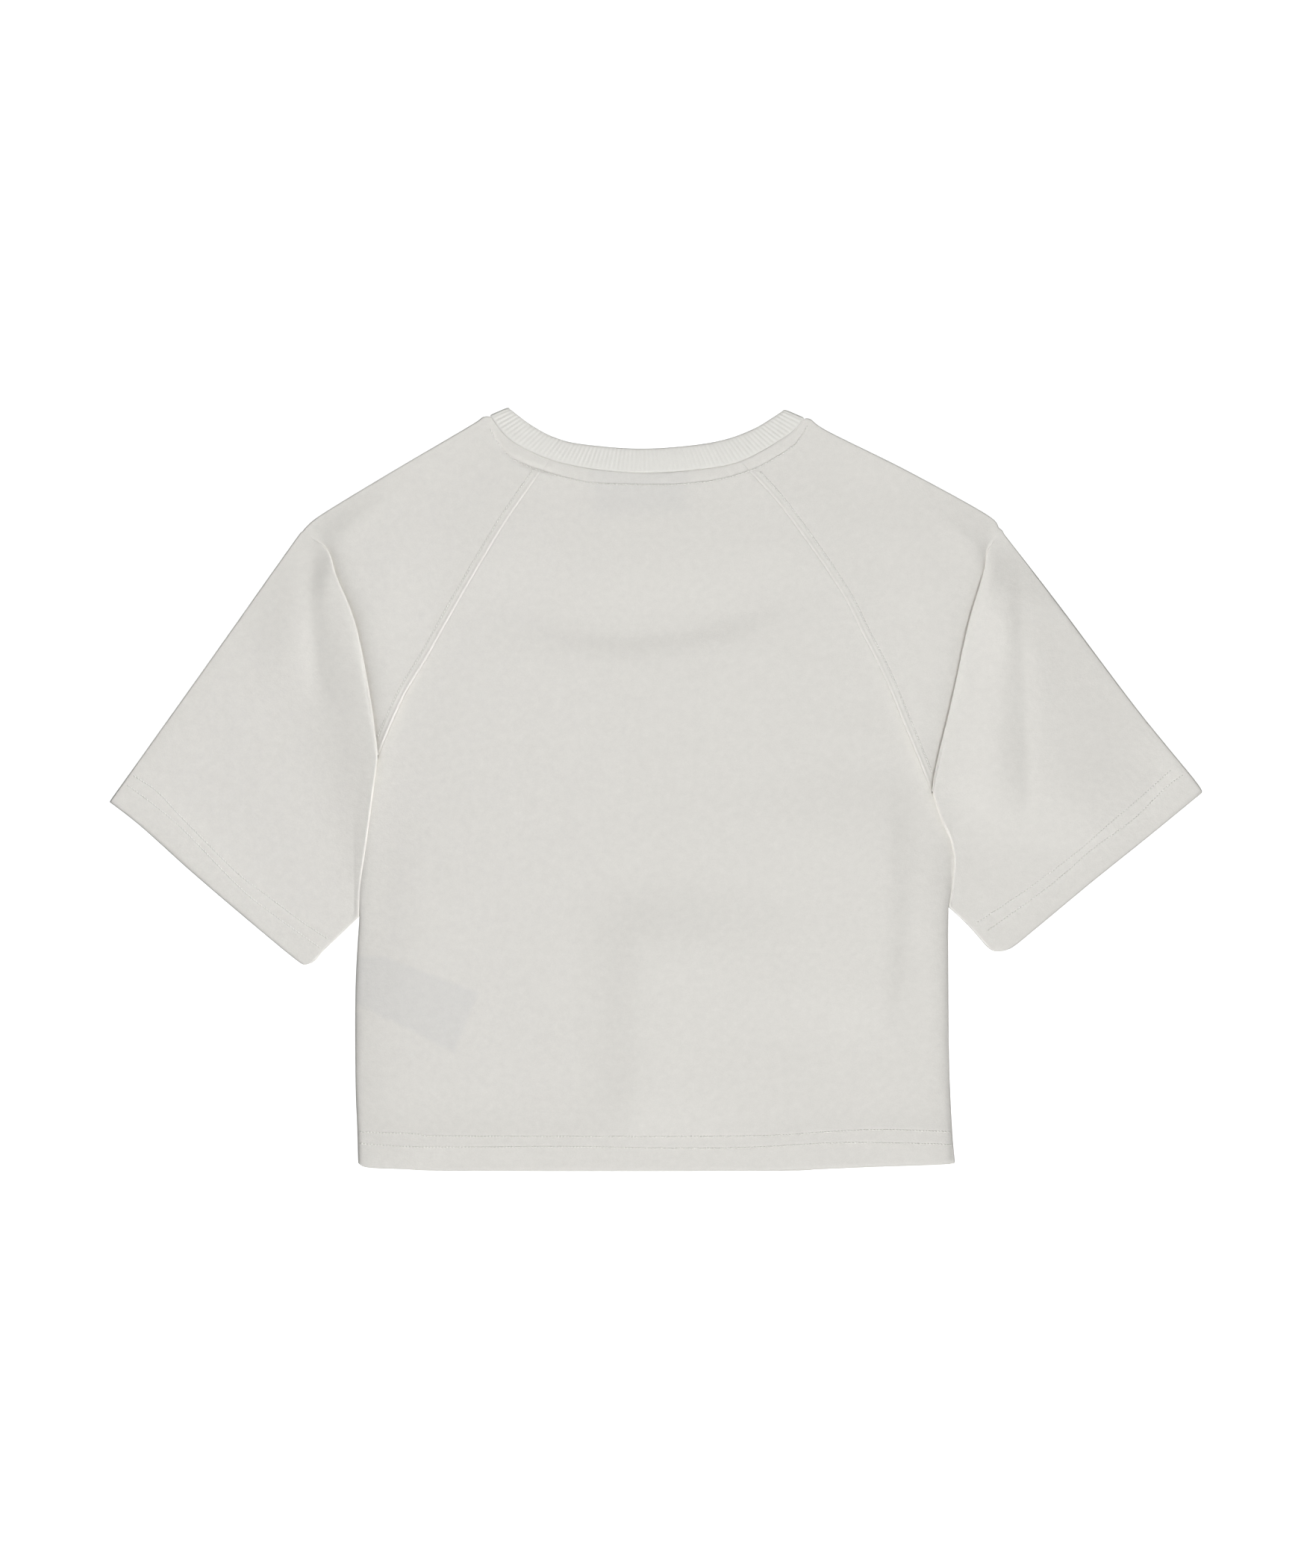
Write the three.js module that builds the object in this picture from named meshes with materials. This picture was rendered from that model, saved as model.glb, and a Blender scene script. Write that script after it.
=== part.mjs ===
// A cropped, short-sleeved raglan sweatshirt in brushed fleece, laid flat on its
// front, so its back shows. It is five sewn pieces: front, back, two sleeves that
// each fold over the shoulder, and a rib collar folded double.
//
// Millimetres. +X to the right as it lies, +Y towards the neck, +Z up. The origin
// is the middle of the garment's box, on the surface that it rests on. The
// wearer's left is at -X.

import * as THREE from 'three';

// ---------- driving sizes ----------

const CLOTH = 1.5; // wall of the fleece
const GAP = 0.3; // between pieces at a seam, and between two layers
const RIB = 2.2; // wall of the collar, its rib folded double
const TURN_UP = 0.9; // what the turned-up hem and cuffs add to the wall
const HEM_DEPTH = 28; // depth of the body's hem
const CUFF_DEPTH = 24; // depth of the sleeves' hems
const STEP = 2; // length over which a turned-up layer ends
const HEM_ROUND = 0.5; // share of the wall that is left at a hem's rounded edge
const ROLL = 4.5; // how far in a layer rounds over at a side or underarm seam
const ROLL_STEPS = [0, 0.15, 0.5, 1]; // where its rows of points lie, as shares
const EDGE_WALL = 0.1; // share of the wall that is left at such a seam
const FRONT_ROUND = 0.6; // how far up its wall a sleeve's lower layer is rounded there
const CROWN = 1.5; // how far the back lifts off the front at mid body

const NEAR_FOLD = 0.02; // share of a sleeve's width where the fold over the arm starts
const PLEAT_RISE = 3.6; // step that the sleeve's fold stands above the shoulder
const PLEAT_TUCK = 5; // how far the fold covers the cloth beneath it
const PLEAT_TURN = PLEAT_RISE / 4; // bend radius at both turns of that fold
const PLEAT_RAMP = 8; // width of the same step where it only starts, at the shoulder
const PLEAT_REACH = 110; // distance in which the sleeve sinks back to its level

const WALE_RISE = 0.25; // ribs above their furrows

// ---------- outlines as laid, in points [x, y] from the neck downwards ----------

const HALVES = {
  left: {
    // fold over the shoulder, from the neck to the shoulder point
    shoulder: [[-123, 274.2], [-127.5, 274], [-137, 267.5], [-196, 232.5], [-246, 201.8], [-259, 191]],
    // the same fold, on down to the cuff
    overarm: [[-259, 191], [-267, 181], [-335, 84.5], [-402, -10]],
    // edge of the cuff, from the overarm to the underarm
    cuff: [[-402, -10], [-379, -28], [-344, -59.5], [-305.5, -92.5], [-265, -126], [-257, -129.5]],
    // underarm seam, from under the body's side to the cuff
    underarm: [[-218.4, -94], [-234.5, -109.5], [-245, -119.5], [-251.5, -127], [-257, -129.5]],
    // seam between back and sleeve, from the collar to the armpit
    raglan: [[-78, 242.7], [-108, 200], [-130.5, 163], [-147, 134.5], [-168.5, 96], [-185.5, 67.5],
      [-204.3, 25]],
    // seam between front and sleeve
    frontRaglan: [[-101, 216], [-128, 160], [-150, 116], [-176, 70], [-204.3, 25]],
    // side seam beside the sleeve, from the armpit to where the sleeve parts from it
    besideSleeve: [[-204.3, 25], [-207.6, 0], [-213.7, -46], [-217.3, -72], [-218.4, -94]],
    // side seam below the sleeve, to the hem
    side: [[-218.4, -94], [-221.3, -147], [-221.3, -215], [-220, -250], [-219.3, -275.5]],
    // edge of the sleeve's fold, from the shoulder point to the armpit
    pleat: [[-259, 191], [-242, 177], [-235, 157], [-221, 122], [-210, 67], [-204.3, 25]],
  },
  right: {
    shoulder: [[110, 272.3], [114, 272.5], [127.5, 263.2], [185, 234.3], [243, 202], [253, 191.5]],
    overarm: [[253, 191.5], [261, 181.5], [302, 127.5], [354, 58.5], [397, 5.5], [401.8, -3.5]],
    cuff: [[401.8, -3.5], [394.5, -9.5], [360, -37.7], [321, -69], [282.5, -101], [261.5, -117.5],
      [249.5, -119.8]],
    underarm: [[215.8, -87], [226.3, -97], [235, -106], [244.5, -116.8], [249.5, -119.8]],
    raglan: [[63, 241.6], [68.5, 234.5], [94.5, 205], [134.5, 148], [153, 112.5], [168, 83],
      [189, 32.5], [203.2, -2]],
    frontRaglan: [[87, 216], [113, 160], [140, 110], [168, 60], [203.2, -2]],
    besideSleeve: [[203.2, -2], [210.5, -24], [217.5, -39.5], [219.6, -57], [215.8, -87]],
    side: [[215.8, -87], [215.6, -120], [216.3, -200], [218.6, -252], [220.5, -274.5]],
    pleat: [[253, 191.5], [244, 177], [241.5, 160], [229.6, 119], [218.6, 68.5], [206.5, 18],
      [203.2, -2]],
  },
};

// lower edge of the body, left to right
const HEM = [[-219.3, -275.5], [-212, -278.9], [-186, -280], [-142, -281.3], [80, -281.3],
  [122, -280], [166, -278.2], [214, -276.5], [220.5, -274.5]];

// Seam of the collar and its folded edge, left to right, on the back and on the
// front. They end where the collar starts to turn over at the shoulders.
const COLLAR = {
  backSeam: [[-121, 272], [-107, 257], [-78, 242.7], [-43, 235.2], [-7, 232.8], [30, 235.2],
    [63, 241.6], [96.5, 260], [107.8, 270.1]],
  backEdge: [[-107.4, 279.9], [-91, 267.6], [-74.5, 259], [-54, 254], [-9, 250.7], [40, 255],
    [70, 264.3], [93.5, 278.4]],
  frontSeam: [[-121, 272], [-118, 248], [-101, 216], [-62, 191], [-7, 182], [48, 191],
    [87, 216], [104, 247], [107.8, 270.1]],
  frontEdge: [[-107.4, 279.9], [-101, 254], [-86, 229], [-52, 207], [-7, 200], [38, 207],
    [72, 229], [88, 254], [93.5, 278.4]],
};

const RAGLAN_AT = 2; // point of each collar seam, from its ends, where a raglan seam meets it

// ---------- numbers of rows and columns ----------

const RAGLAN_ROWS = 8;
const BESIDE_ROWS = 5;
const SLEEVE_COLUMNS = 9;
const FRONT_COLUMNS = 8;
const BEND_COLUMNS = 4;
const PANEL_COLUMNS = 18;

// ---------- small tools ----------

const mix = (a, b, t) => a + (b - a) * t;
const clamp = (t) => Math.min(1, Math.max(0, t));
const smooth = (t) => clamp(t) ** 2 * (3 - 2 * clamp(t));
const mixPoint = (p, q, t) => [mix(p[0], q[0], t), mix(p[1], q[1], t)];
const distance = (p, q) => Math.hypot(q[0] - p[0], q[1] - p[1]);

// a smooth line through a few points: the point at each share of its length
function lineThrough(points) {
  const curve = new THREE.SplineCurve(points.map(([x, y]) => new THREE.Vector2(x, y)));
  curve.arcLengthDivisions = 400;
  const line = (share) => curve.getPointAt(clamp(share)).toArray();
  line.span = curve.getLength();
  return line;
}

// The stretch of such a line between two of its points, moved to its left.
function lineBetween(points, from, to, by) {
  const curve = new THREE.SplineCurve(points.map(([x, y]) => new THREE.Vector2(x, y)));
  return (share) => {
    const t = mix(from, to, clamp(share)) / (points.length - 1);
    const [point, direction] = [curve.getPoint(t), curve.getTangent(t)];
    return [point.x - by * direction.y, point.y + by * direction.x];
  };
}

const evenShares = (count) => Array.from({ length: count + 1 }, (_, i) => i / count);

// the length of a line of points up to each of them
function runningLength(points) {
  const lengths = [0];
  for (let i = 1; i < points.length; i += 1) {
    lengths.push(lengths[i - 1] + distance(points[i - 1], points[i]));
  }
  return lengths;
}

// points moved sideways, to the left of their direction
function movedLeft(points, by) {
  return points.map((point, i) => {
    const before = points[Math.max(0, i - 1)];
    const after = points[Math.min(points.length - 1, i + 1)];
    const length = distance(before, after);
    return [
      point[0] - (by * (after[1] - before[1])) / length,
      point[1] + (by * (after[0] - before[0])) / length,
    ];
  });
}

// A patch between a first and a last line, whose rows run from startPoints to
// endPoints: both pairs of edges are blended and the corners' share taken off.
function patchBetween(first, last, startPoints, endPoints) {
  const starts = runningLength(startPoints);
  const ends = runningLength(endPoints);
  return (row, u) => {
    const v = (starts[row] / starts.at(-1) + ends[row] / ends.at(-1)) / 2;
    const across = mixPoint(first(u), last(u), v);
    const along = mixPoint(startPoints[row], endPoints[row], u);
    const corners = mixPoint(
      mixPoint(first(0), first(1), u),
      mixPoint(last(0), last(1), u),
      v,
    );
    return [across[0] + along[0] - corners[0], across[1] + along[1] - corners[1]];
  };
}

// how far the upper layer is lifted off the lower one at a place
function lift([x, y]) {
  const across = clamp(1 - (Math.abs(x) / 222) ** 3);
  const upFromHem = smooth((y + 281) / 90);
  return CROWN * across * upFromHem;
}

// height of a rounded edge, as a share, at a distance in from it
function rolled(inward) {
  const share = clamp(inward / ROLL);
  return Math.sqrt(1 - (1 - share) ** 2);
}

// One closed body from a grid of points on a wall's face and one on its back.
function wallBody(face, back) {
  const rows = face.length;
  const columns = face[0].length;
  const positions = [...face, ...back].flat(2);
  const at = (side, row, column) => (side * rows + row) * columns + column;
  const index = [];
  const quad = (a, b, c, d) => index.push(a, b, c, a, c, d);
  for (let i = 0; i + 1 < rows; i += 1) {
    for (let j = 0; j + 1 < columns; j += 1) {
      quad(at(0, i, j), at(0, i, j + 1), at(0, i + 1, j + 1), at(0, i + 1, j));
      quad(at(1, i, j), at(1, i + 1, j), at(1, i + 1, j + 1), at(1, i, j + 1));
    }
    const end = columns - 1;
    quad(at(0, i, 0), at(0, i + 1, 0), at(1, i + 1, 0), at(1, i, 0));
    quad(at(0, i, end), at(1, i, end), at(1, i + 1, end), at(0, i + 1, end));
  }
  for (let j = 0; j + 1 < columns; j += 1) {
    const end = rows - 1;
    quad(at(0, 0, j), at(1, 0, j), at(1, 0, j + 1), at(0, 0, j + 1));
    quad(at(0, end, j), at(0, end, j + 1), at(1, end, j + 1), at(1, end, j));
  }
  return closedGeometry(positions, index);
}

// A geometry from shared corners, with its faces turned outwards.
function closedGeometry(positions, index) {
  const corner = (i) => new THREE.Vector3().fromArray(positions, 3 * i);
  let volume = 0;
  for (let i = 0; i < index.length; i += 3) {
    volume += corner(index[i]).dot(corner(index[i + 1]).cross(corner(index[i + 2])));
  }
  const outward = volume > 0 ? index : index.slice().reverse();
  const geometry = new THREE.BufferGeometry();
  geometry.setAttribute('position', new THREE.Float32BufferAttribute(positions, 3));
  geometry.setIndex(outward);
  geometry.computeVertexNormals();
  return geometry;
}

// ---------- the sides of the body, shared by the panels and the sleeves ----------

// points on a seam line at even shares of its length
const stations = (points, count) => evenShares(count).map(lineThrough(points));

const seams = Object.fromEntries(
  Object.entries(HALVES).map(([name, half]) => [name, {
    raglan: stations(half.raglan, RAGLAN_ROWS),
    frontRaglan: stations(half.frontRaglan, RAGLAN_ROWS),
    besideSleeve: stations(half.besideSleeve, BESIDE_ROWS),
  }]),
);

// ---------- body panels ----------

// Distances of the rows near the hem's edge: its rounding and its turned-up end.
const HEM_ROWS = [0, 1, 3, HEM_DEPTH - STEP / 2, HEM_DEPTH + STEP / 2];
const SIDE_ROWS = 4;

// one side of a panel, from the hem's corner up to the collar
function panelSide(half, shared, raglan, inward) {
  const side = lineThrough(half.side);
  const fromHem = HEM_ROWS.map((mm) => side(1 - mm / side.span));
  const hemShare = 1 - HEM_ROWS.at(-1) / side.span;
  const above = evenShares(SIDE_ROWS).slice(1).map((t) => side(hemShare * (1 - t)));
  const beside = shared.besideSleeve.slice(0, -1).reverse();
  const upper = raglan.slice(0, -1).reverse();
  return movedLeft([...fromHem, ...above, ...beside, ...upper], inward);
}

// shares across a panel, closer at both edges where they round over
function panelShares(width) {
  const edge = ROLL_STEPS.map((share) => (share * ROLL) / width);
  const inner = evenShares(PANEL_COLUMNS).slice(1, -1);
  return [...edge, ...inner, ...edge.map((share) => 1 - share).reverse()];
}

// A panel's plan: rows from the hem to the collar, columns from left to right.
function panelPlan(raglan, neckSeam) {
  const left = panelSide(HALVES.left, seams.left, seams.left[raglan], -GAP / 2);
  const right = panelSide(HALVES.right, seams.right, seams.right[raglan], GAP / 2);
  const top = lineBetween(neckSeam, RAGLAN_AT, neckSeam.length - 1 - RAGLAN_AT, -GAP / 2);
  left[left.length - 1] = top(0);
  right[right.length - 1] = top(1);
  const hem = lineThrough(HEM);
  left[0] = hem(0);
  right[0] = hem(1);
  const plan = patchBetween(hem, top, left, right);
  const shares = panelShares(distance(left[0], right[0]));
  return left.map((_, row) => shares.map((u) => plan(row, u)));
}

// how much of its turned-up layer a hem or cuff has, at a distance from its edge
const turnedUp = (fromEdge, depth) => 1 - smooth((fromEdge - depth + STEP / 2) / STEP);

// A body panel: its rows with each one's wall, how far it is rounded, and its points.
function panelRows(raglan, neckSeam) {
  const armpitRow = HEM_ROWS.length + SIDE_ROWS + BESIDE_ROWS - 1;
  return panelPlan(raglan, neckSeam).map((points, i) => {
    const extra = TURN_UP * turnedUp(HEM_ROWS[i] ?? Infinity, HEM_DEPTH);
    const round = (point) => {
      const fromSide = Math.min(distance(point, points[0]), distance(point, points.at(-1)));
      const atSide = i > armpitRow ? 1 : rolled(fromSide);
      return i === 0 ? Math.min(atSide, HEM_ROUND) : atSide;
    };
    return { extra, wall: CLOTH + extra, round, points };
  });
}

// The front lies flat on its outside, and only its edges round up off the surface.
function frontPanel() {
  const rows = panelRows('frontRaglan', COLLAR.frontSeam);
  const face = rows.map(({ points, round }) => points.map(
    (point) => [...point, CLOTH * (1 - EDGE_WALL) * (1 - round(point))],
  ));
  const back = rows.map(({ points, wall }) => points.map((point) => [...point, wall]));
  return wallBody(face, back);
}

// The back lies on the front, and lifts off it a little at mid body.
function backPanel() {
  const rows = panelRows('raglan', COLLAR.backSeam);
  const under = (point, extra) => CLOTH + extra + GAP + lift(point);
  const back = rows.map(({ points, extra }) => points.map(
    (point) => [...point, under(point, extra)],
  ));
  const face = rows.map(({ points, extra, wall, round }) => points.map(
    (point) => [...point, under(point, extra) + wall * mix(EDGE_WALL, 1, round(point))],
  ));
  return wallBody(face, back);
}

// ---------- sleeves ----------

// Distances of the rows near a cuff's edge, and of the rows between it and the armpit.
const CUFF_ROWS = [CUFF_DEPTH + STEP / 2, CUFF_DEPTH - STEP / 2, 3, 1, 0];
const UNDERARM_ROWS = 2;

// The fold's section, from the shoulder's cloth under it to the sleeve's cloth on
// top: each row is a point of the wall's middle, outwards from the fold's edge and up.
function pleatSection(tucked) {
  const lip = CLOTH / 2 + PLEAT_TURN;
  const inner = PLEAT_TUCK - PLEAT_TURN;
  const bend = (x, z, degrees) => {
    const angle = THREE.MathUtils.degToRad(degrees);
    return [x + PLEAT_TURN * Math.cos(angle), z + PLEAT_TURN * Math.sin(angle)];
  };
  const folded = [
    [0, 0],
    [inner, 0],
    bend(inner, PLEAT_TURN, -30),
    bend(inner, PLEAT_TURN, 30),
    [inner, 2 * PLEAT_TURN],
    [lip, 2 * PLEAT_TURN],
    bend(lip, 3 * PLEAT_TURN, 210),
    bend(lip, 3 * PLEAT_TURN, 150),
    [lip, 4 * PLEAT_TURN],
  ];
  const last = folded.length - 1;
  return folded.map(([x, z], i) => {
    const share = i / last;
    return [mix(share * PLEAT_RAMP, x, tucked), mix(smooth(share), z / PLEAT_RISE, tucked)];
  });
}

// the fold along its length, from nothing at the shoulder to full at the armpit
const pleatRise = (u) => PLEAT_RISE * smooth(u / 0.4);
const pleatTucked = (u) => smooth((u - 0.35) / 0.25);

// One point of the fold: the wall's face and its back, at a row and a share along it.
function pleatPoint(pleat, side, row, u) {
  const edge = pleat(u);
  const [before, after] = [pleat(u - 0.01), pleat(u + 0.01)];
  const length = distance(before, after);
  const outward = [
    (side * (before[1] - after[1])) / length,
    (side * (after[0] - before[0])) / length,
  ];
  const section = pleatSection(pleatTucked(u)).map(([x, z]) => [x, z * pleatRise(u)]);
  const [x, z] = section[row];
  const last = section[section.length - 1];
  const [fromX, fromZ] = section[row - 1];
  const [toX, toZ] = section[row + 1] ?? [last[0] + PLEAT_RAMP, last[1]];
  const run = Math.hypot(toX - fromX, toZ - fromZ);
  const normal = [(fromZ - toZ) / run, (toX - fromX) / run];
  const middle = CLOTH + GAP + lift(edge) + CLOTH / 2;
  return [1, -1].map((way) => {
    const out = x + (way * normal[0] * CLOTH) / 2;
    const up = z + (way * normal[1] * CLOTH) / 2;
    return [edge[0] + outward[0] * out, edge[1] + outward[1] * out, middle + up];
  });
}

// All rows of a sleeve, from the collar to the cuff: its plan on the upper and the
// lower layer, where it starts on the fold over the arm, and what its wall does.
function sleeveRows(name) {
  const half = HALVES[name];
  const shared = seams[name];
  const side = name === 'left' ? -1 : 1;
  const apart = (side * GAP) / 2;
  const shoulder = lineThrough(half.shoulder);
  const overarm = lineThrough(half.overarm);
  const underarm = lineThrough(half.underarm);
  const cuff = lineThrough(half.cuff);

  // the collar's seam from the fold over the shoulder to the raglan seam
  const neckLine = (points) => {
    const fromFold = side < 0 ? points : points.slice().reverse();
    const seam = lineBetween(fromFold, 0, RAGLAN_AT, apart);
    const [x, y] = seam(0);
    return (u) => {
      const point = seam(u);
      const near = (1 - clamp(u)) ** 4;
      return [point[0] + near * (half.shoulder[0][0] - x), point[1] + near * (half.shoulder[0][1] - y)];
    };
  };

  // inner ends of the rows, beside the body and down the underarm
  const above = UNDERARM_ROWS + BESIDE_ROWS;
  const underarmStart = 1 - CUFF_ROWS[0] / underarm.span;
  const downUnderarm = [
    ...evenShares(UNDERARM_ROWS).slice(1).map((t) => underarm(underarmStart * t)),
    ...CUFF_ROWS.slice(1).map((mm) => underarm(1 - mm / underarm.span)),
  ];
  const inside = (raglan) => movedLeft([...raglan, ...shared.besideSleeve.slice(1)], apart);
  const backInside = inside(shared.raglan);
  const frontInside = inside(shared.frontRaglan);

  // outer ends of the rows, on the fold over the shoulder and the arm
  const overarmStart = 1 - CUFF_ROWS[0] / overarm.span;
  const downOverarm = [
    ...evenShares(above).map((t) => overarm(overarmStart * t)),
    ...CUFF_ROWS.slice(1).map((mm) => overarm(1 - mm / overarm.span)),
  ];
  const overShoulder = evenShares(RAGLAN_ROWS).map(shoulder);

  const armpit = backInside[RAGLAN_ROWS];
  const pleat = lineThrough([...half.pleat.slice(0, -1), armpit]);
  const upper = patchBetween(
    neckLine(COLLAR.backSeam), pleat, overShoulder, backInside.slice(0, RAGLAN_ROWS + 1),
  );
  const lower = patchBetween(
    pleat, cuff, downOverarm, [...backInside.slice(RAGLAN_ROWS), ...downUnderarm],
  );

  const rows = [];
  for (let i = 0; i <= RAGLAN_ROWS; i += 1) {
    rows.push({ start: overShoulder[i], frontEnd: frontInside[i], plan: (u) => upper(i, u) });
  }
  const pleatRows = pleatSection(0).length - 1;
  for (let i = 1; i <= pleatRows; i += 1) {
    const share = i / (pleatRows + 1);
    rows.push({
      start: pleatPoint(pleat, side, i, 0)[0].slice(0, 2),
      frontEnd: mixPoint(frontInside[RAGLAN_ROWS], frontInside[RAGLAN_ROWS + 1], share),
      pleat: (u) => pleatPoint(pleat, side, i, u),
      plan: (u) => pleatPoint(pleat, side, i, u)[0].slice(0, 2),
    });
  }
  const frontDown = [...frontInside.slice(RAGLAN_ROWS), ...downUnderarm];
  for (let i = 1; i < downOverarm.length; i += 1) {
    const fromCuff = CUFF_ROWS[i - downOverarm.length + CUFF_ROWS.length] ?? Infinity;
    rows.push({
      start: downOverarm[i],
      frontEnd: frontDown[i],
      plan: (u) => lower(i, u),
      pleatEdge: pleat,
      extra: TURN_UP * turnedUp(fromCuff, CUFF_DEPTH),
      isEdge: fromCuff === 0,
    });
  }
  const front = patchBetween(
    neckLine(COLLAR.frontSeam), cuff, rows.map((row) => row.start), rows.map((row) => row.frontEnd),
  );
  return rows.map((row, i) => ({ extra: 0, ...row, frontPlan: (u) => front(i, u) }));
}

// upper layer of a sleeve's row at a share of its width: the wall's face and back
function sleeveTop(row, width, u) {
  if (row.pleat) return row.pleat(u);
  const point = row.plan(u);
  const wall = CLOTH + row.extra;
  const low = CLOTH + GAP + row.extra;
  if (!row.pleatEdge) {
    const under = low + lift(point);
    return [[...point, under + wall], [...point, under]];
  }
  const sunk = smooth(distance(point, row.pleatEdge(u)) / PLEAT_REACH);
  const high = lift(point) + pleatRise(u) * (1 - sunk);
  const inward = (1 - u) * width;
  const inner = ((inward - CLOTH) * ROLL) / (ROLL - CLOTH);
  const round = Math.min(row.isEdge ? HEM_ROUND : 1, mix(EDGE_WALL, 1, rolled(inward)));
  const top = low + high * rolled(inward) + wall * round;
  return [[...point, top], [...point, low + high * rolled(inner)]];
}

// One sleeve: each row runs from its lower inner edge round the fold to its upper one.
function sleeve(name) {
  const face = [];
  const back = [];
  for (const row of sleeveRows(name)) {
    const wall = CLOTH + row.extra;
    const width = distance(row.plan(0), row.plan(1));
    const frontWidth = distance(row.frontPlan(0), row.frontPlan(1));
    const topAtFold = sleeveTop(row, width, NEAR_FOLD);
    const middleTop = (topAtFold[0][2] + topAtFold[1][2]) / 2;
    const radius = (middleTop - wall / 2) / 2;
    const bend = radius + wall / 2;
    const foldTop = row.plan(bend / width);
    const foldBottom = row.frontPlan(bend / frontWidth);
    const edge = ROLL_STEPS.map((share) => share * ROLL);
    const fromFold = (size, count) => evenShares(count)
      .map((t) => mix(bend / size, 1 - ROLL / size, t));
    const faceRow = [];
    const backRow = [];

    const frontShares = [
      ...edge.slice(0, -1).map((mm) => 1 - mm / frontWidth),
      ...fromFold(frontWidth, FRONT_COLUMNS).reverse(),
    ];
    for (const u of frontShares) {
      const point = row.frontPlan(u);
      const round = row.pleatEdge ? rolled((1 - u) * frontWidth) : 1;
      const lifted = FRONT_ROUND * CLOTH * (1 - round);
      faceRow.push([...point, lifted]);
      backRow.push([...point, wall]);
    }
    for (let i = 1; i < BEND_COLUMNS; i += 1) {
      const angle = Math.PI * (i / BEND_COLUMNS - 0.5);
      const centre = mixPoint(foldBottom, foldTop, i / BEND_COLUMNS);
      const middle = wall / 2 + radius;
      const around = (reach) => [
        ...mixPoint(centre, row.start, (Math.cos(angle) * reach) / bend),
        middle + Math.sin(angle) * reach,
      ];
      faceRow.push(around(bend));
      backRow.push(around(radius - wall / 2));
    }
    const topShares = [
      ...fromFold(width, SLEEVE_COLUMNS),
      ...edge.slice(0, -1).reverse().map((mm) => 1 - mm / width),
    ];
    for (const u of topShares) {
      const [outer, inner] = sleeveTop(row, width, u);
      faceRow.push(outer);
      backRow.push(inner);
    }
    face.push(faceRow);
    back.push(backRow);
  }
  return wallBody(face, back);
}

// ---------- collar ----------

const BACK_WALES = 75;
const FRONT_STATIONS = 26;
const TURN_STATIONS = 4;

// The collar's section: across from its seam to its folded edge, and through the
// wall, both as shares; the raised points carry the ribs.
const RIB_SECTION = [
  { across: 0, through: -1, raised: 0 },
  { across: 0, through: 0.8, raised: 0 },
  { across: 0.1, through: 1, raised: 1 },
  { across: 0.86, through: 1, raised: 1 },
  { across: 0.96, through: 0.6, raised: 0.7 },
  { across: 1, through: 0, raised: 0 },
  { across: 0.96, through: -0.6, raised: 0 },
  { across: 0.86, through: -1, raised: 0 },
];

// The collar is a ring: across the back, over at the right shoulder, across the
// front under the back, and over at the left shoulder.
function neckRib() {
  const ends = [0, -1].map((end) => {
    const seam = COLLAR.backSeam.at(end);
    const edge = COLLAR.backEdge.at(end);
    const middleTop = CLOTH + GAP + lift(seam) + CLOTH / 2;
    const radius = (middleTop - RIB / 2) / 2;
    const side = end === 0 ? 1 : -1;
    const length = distance(seam, edge);
    const inward = [(side * (edge[1] - seam[1])) / length, (-side * (edge[0] - seam[0])) / length];
    return { seam, edge, inward, radius, middle: RIB / 2 + radius };
  });
  const [left, right] = ends;
  const lines = Object.fromEntries(
    Object.entries(COLLAR).map(([key, points]) => [key, lineThrough(points)]),
  );

  // a section between a seam point and an edge point, with its face's direction
  const sections = [];
  const addSection = (seam, edge, middle, normal, wale) => {
    const start = mixPoint(seam, edge, GAP / 2 / distance(seam, edge));
    sections.push(RIB_SECTION.map(({ across, through, raised }) => {
      const point = mixPoint(start, edge, across);
      const out = (through * RIB) / 2 + raised * wale;
      return [point[0] + normal[0] * out, point[1] + normal[1] * out, middle + normal[2] * out];
    }));
  };
  const addTurn = (end, from, to) => {
    for (let i = 1; i < TURN_STATIONS; i += 1) {
      const angle = mix(from, to, i / TURN_STATIONS);
      const normal = [
        -end.inward[0] * Math.sin(angle), -end.inward[1] * Math.sin(angle), Math.cos(angle),
      ];
      const out = (p) => [p[0] + normal[0] * end.radius, p[1] + normal[1] * end.radius];
      addSection(out(end.seam), out(end.edge), end.middle + normal[2] * end.radius, normal, 0);
    }
  };

  const backStations = evenShares(2 * BACK_WALES);
  backStations.forEach((t, i) => {
    const seam = lines.backSeam(t);
    const ridge = i % 2 === 1 ? WALE_RISE : 0;
    addSection(seam, lines.backEdge(t), CLOTH + GAP + lift(seam) + CLOTH / 2, [0, 0, 1], ridge);
  });
  addTurn(right, 0, Math.PI);
  evenShares(FRONT_STATIONS).reverse().forEach((t) => {
    addSection(lines.frontSeam(t), lines.frontEdge(t), RIB / 2, [0, 0, -1], 0);
  });
  addTurn(left, Math.PI, 0);

  const points = RIB_SECTION.length;
  const index = [];
  for (let i = 0; i < sections.length; i += 1) {
    const next = (i + 1) % sections.length;
    for (let j = 0; j < points; j += 1) {
      const other = (j + 1) % points;
      const [a, b] = [i * points + j, i * points + other];
      const [c, d] = [next * points + other, next * points + j];
      index.push(a, b, c, a, c, d);
    }
  }
  return closedGeometry(sections.flat(2), index);
}

// ---------- the garment ----------

const fleece = { color: 0xe9e7e0, roughness: 0.92, metalness: 0 };
const rib = { color: 0xebe9e2, roughness: 0.9, metalness: 0 };

const garment = new THREE.Group();

function addPiece(name, geometry, finish) {
  const mesh = new THREE.Mesh(geometry, new THREE.MeshStandardMaterial(finish));
  mesh.name = name;
  garment.add(mesh);
}

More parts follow.
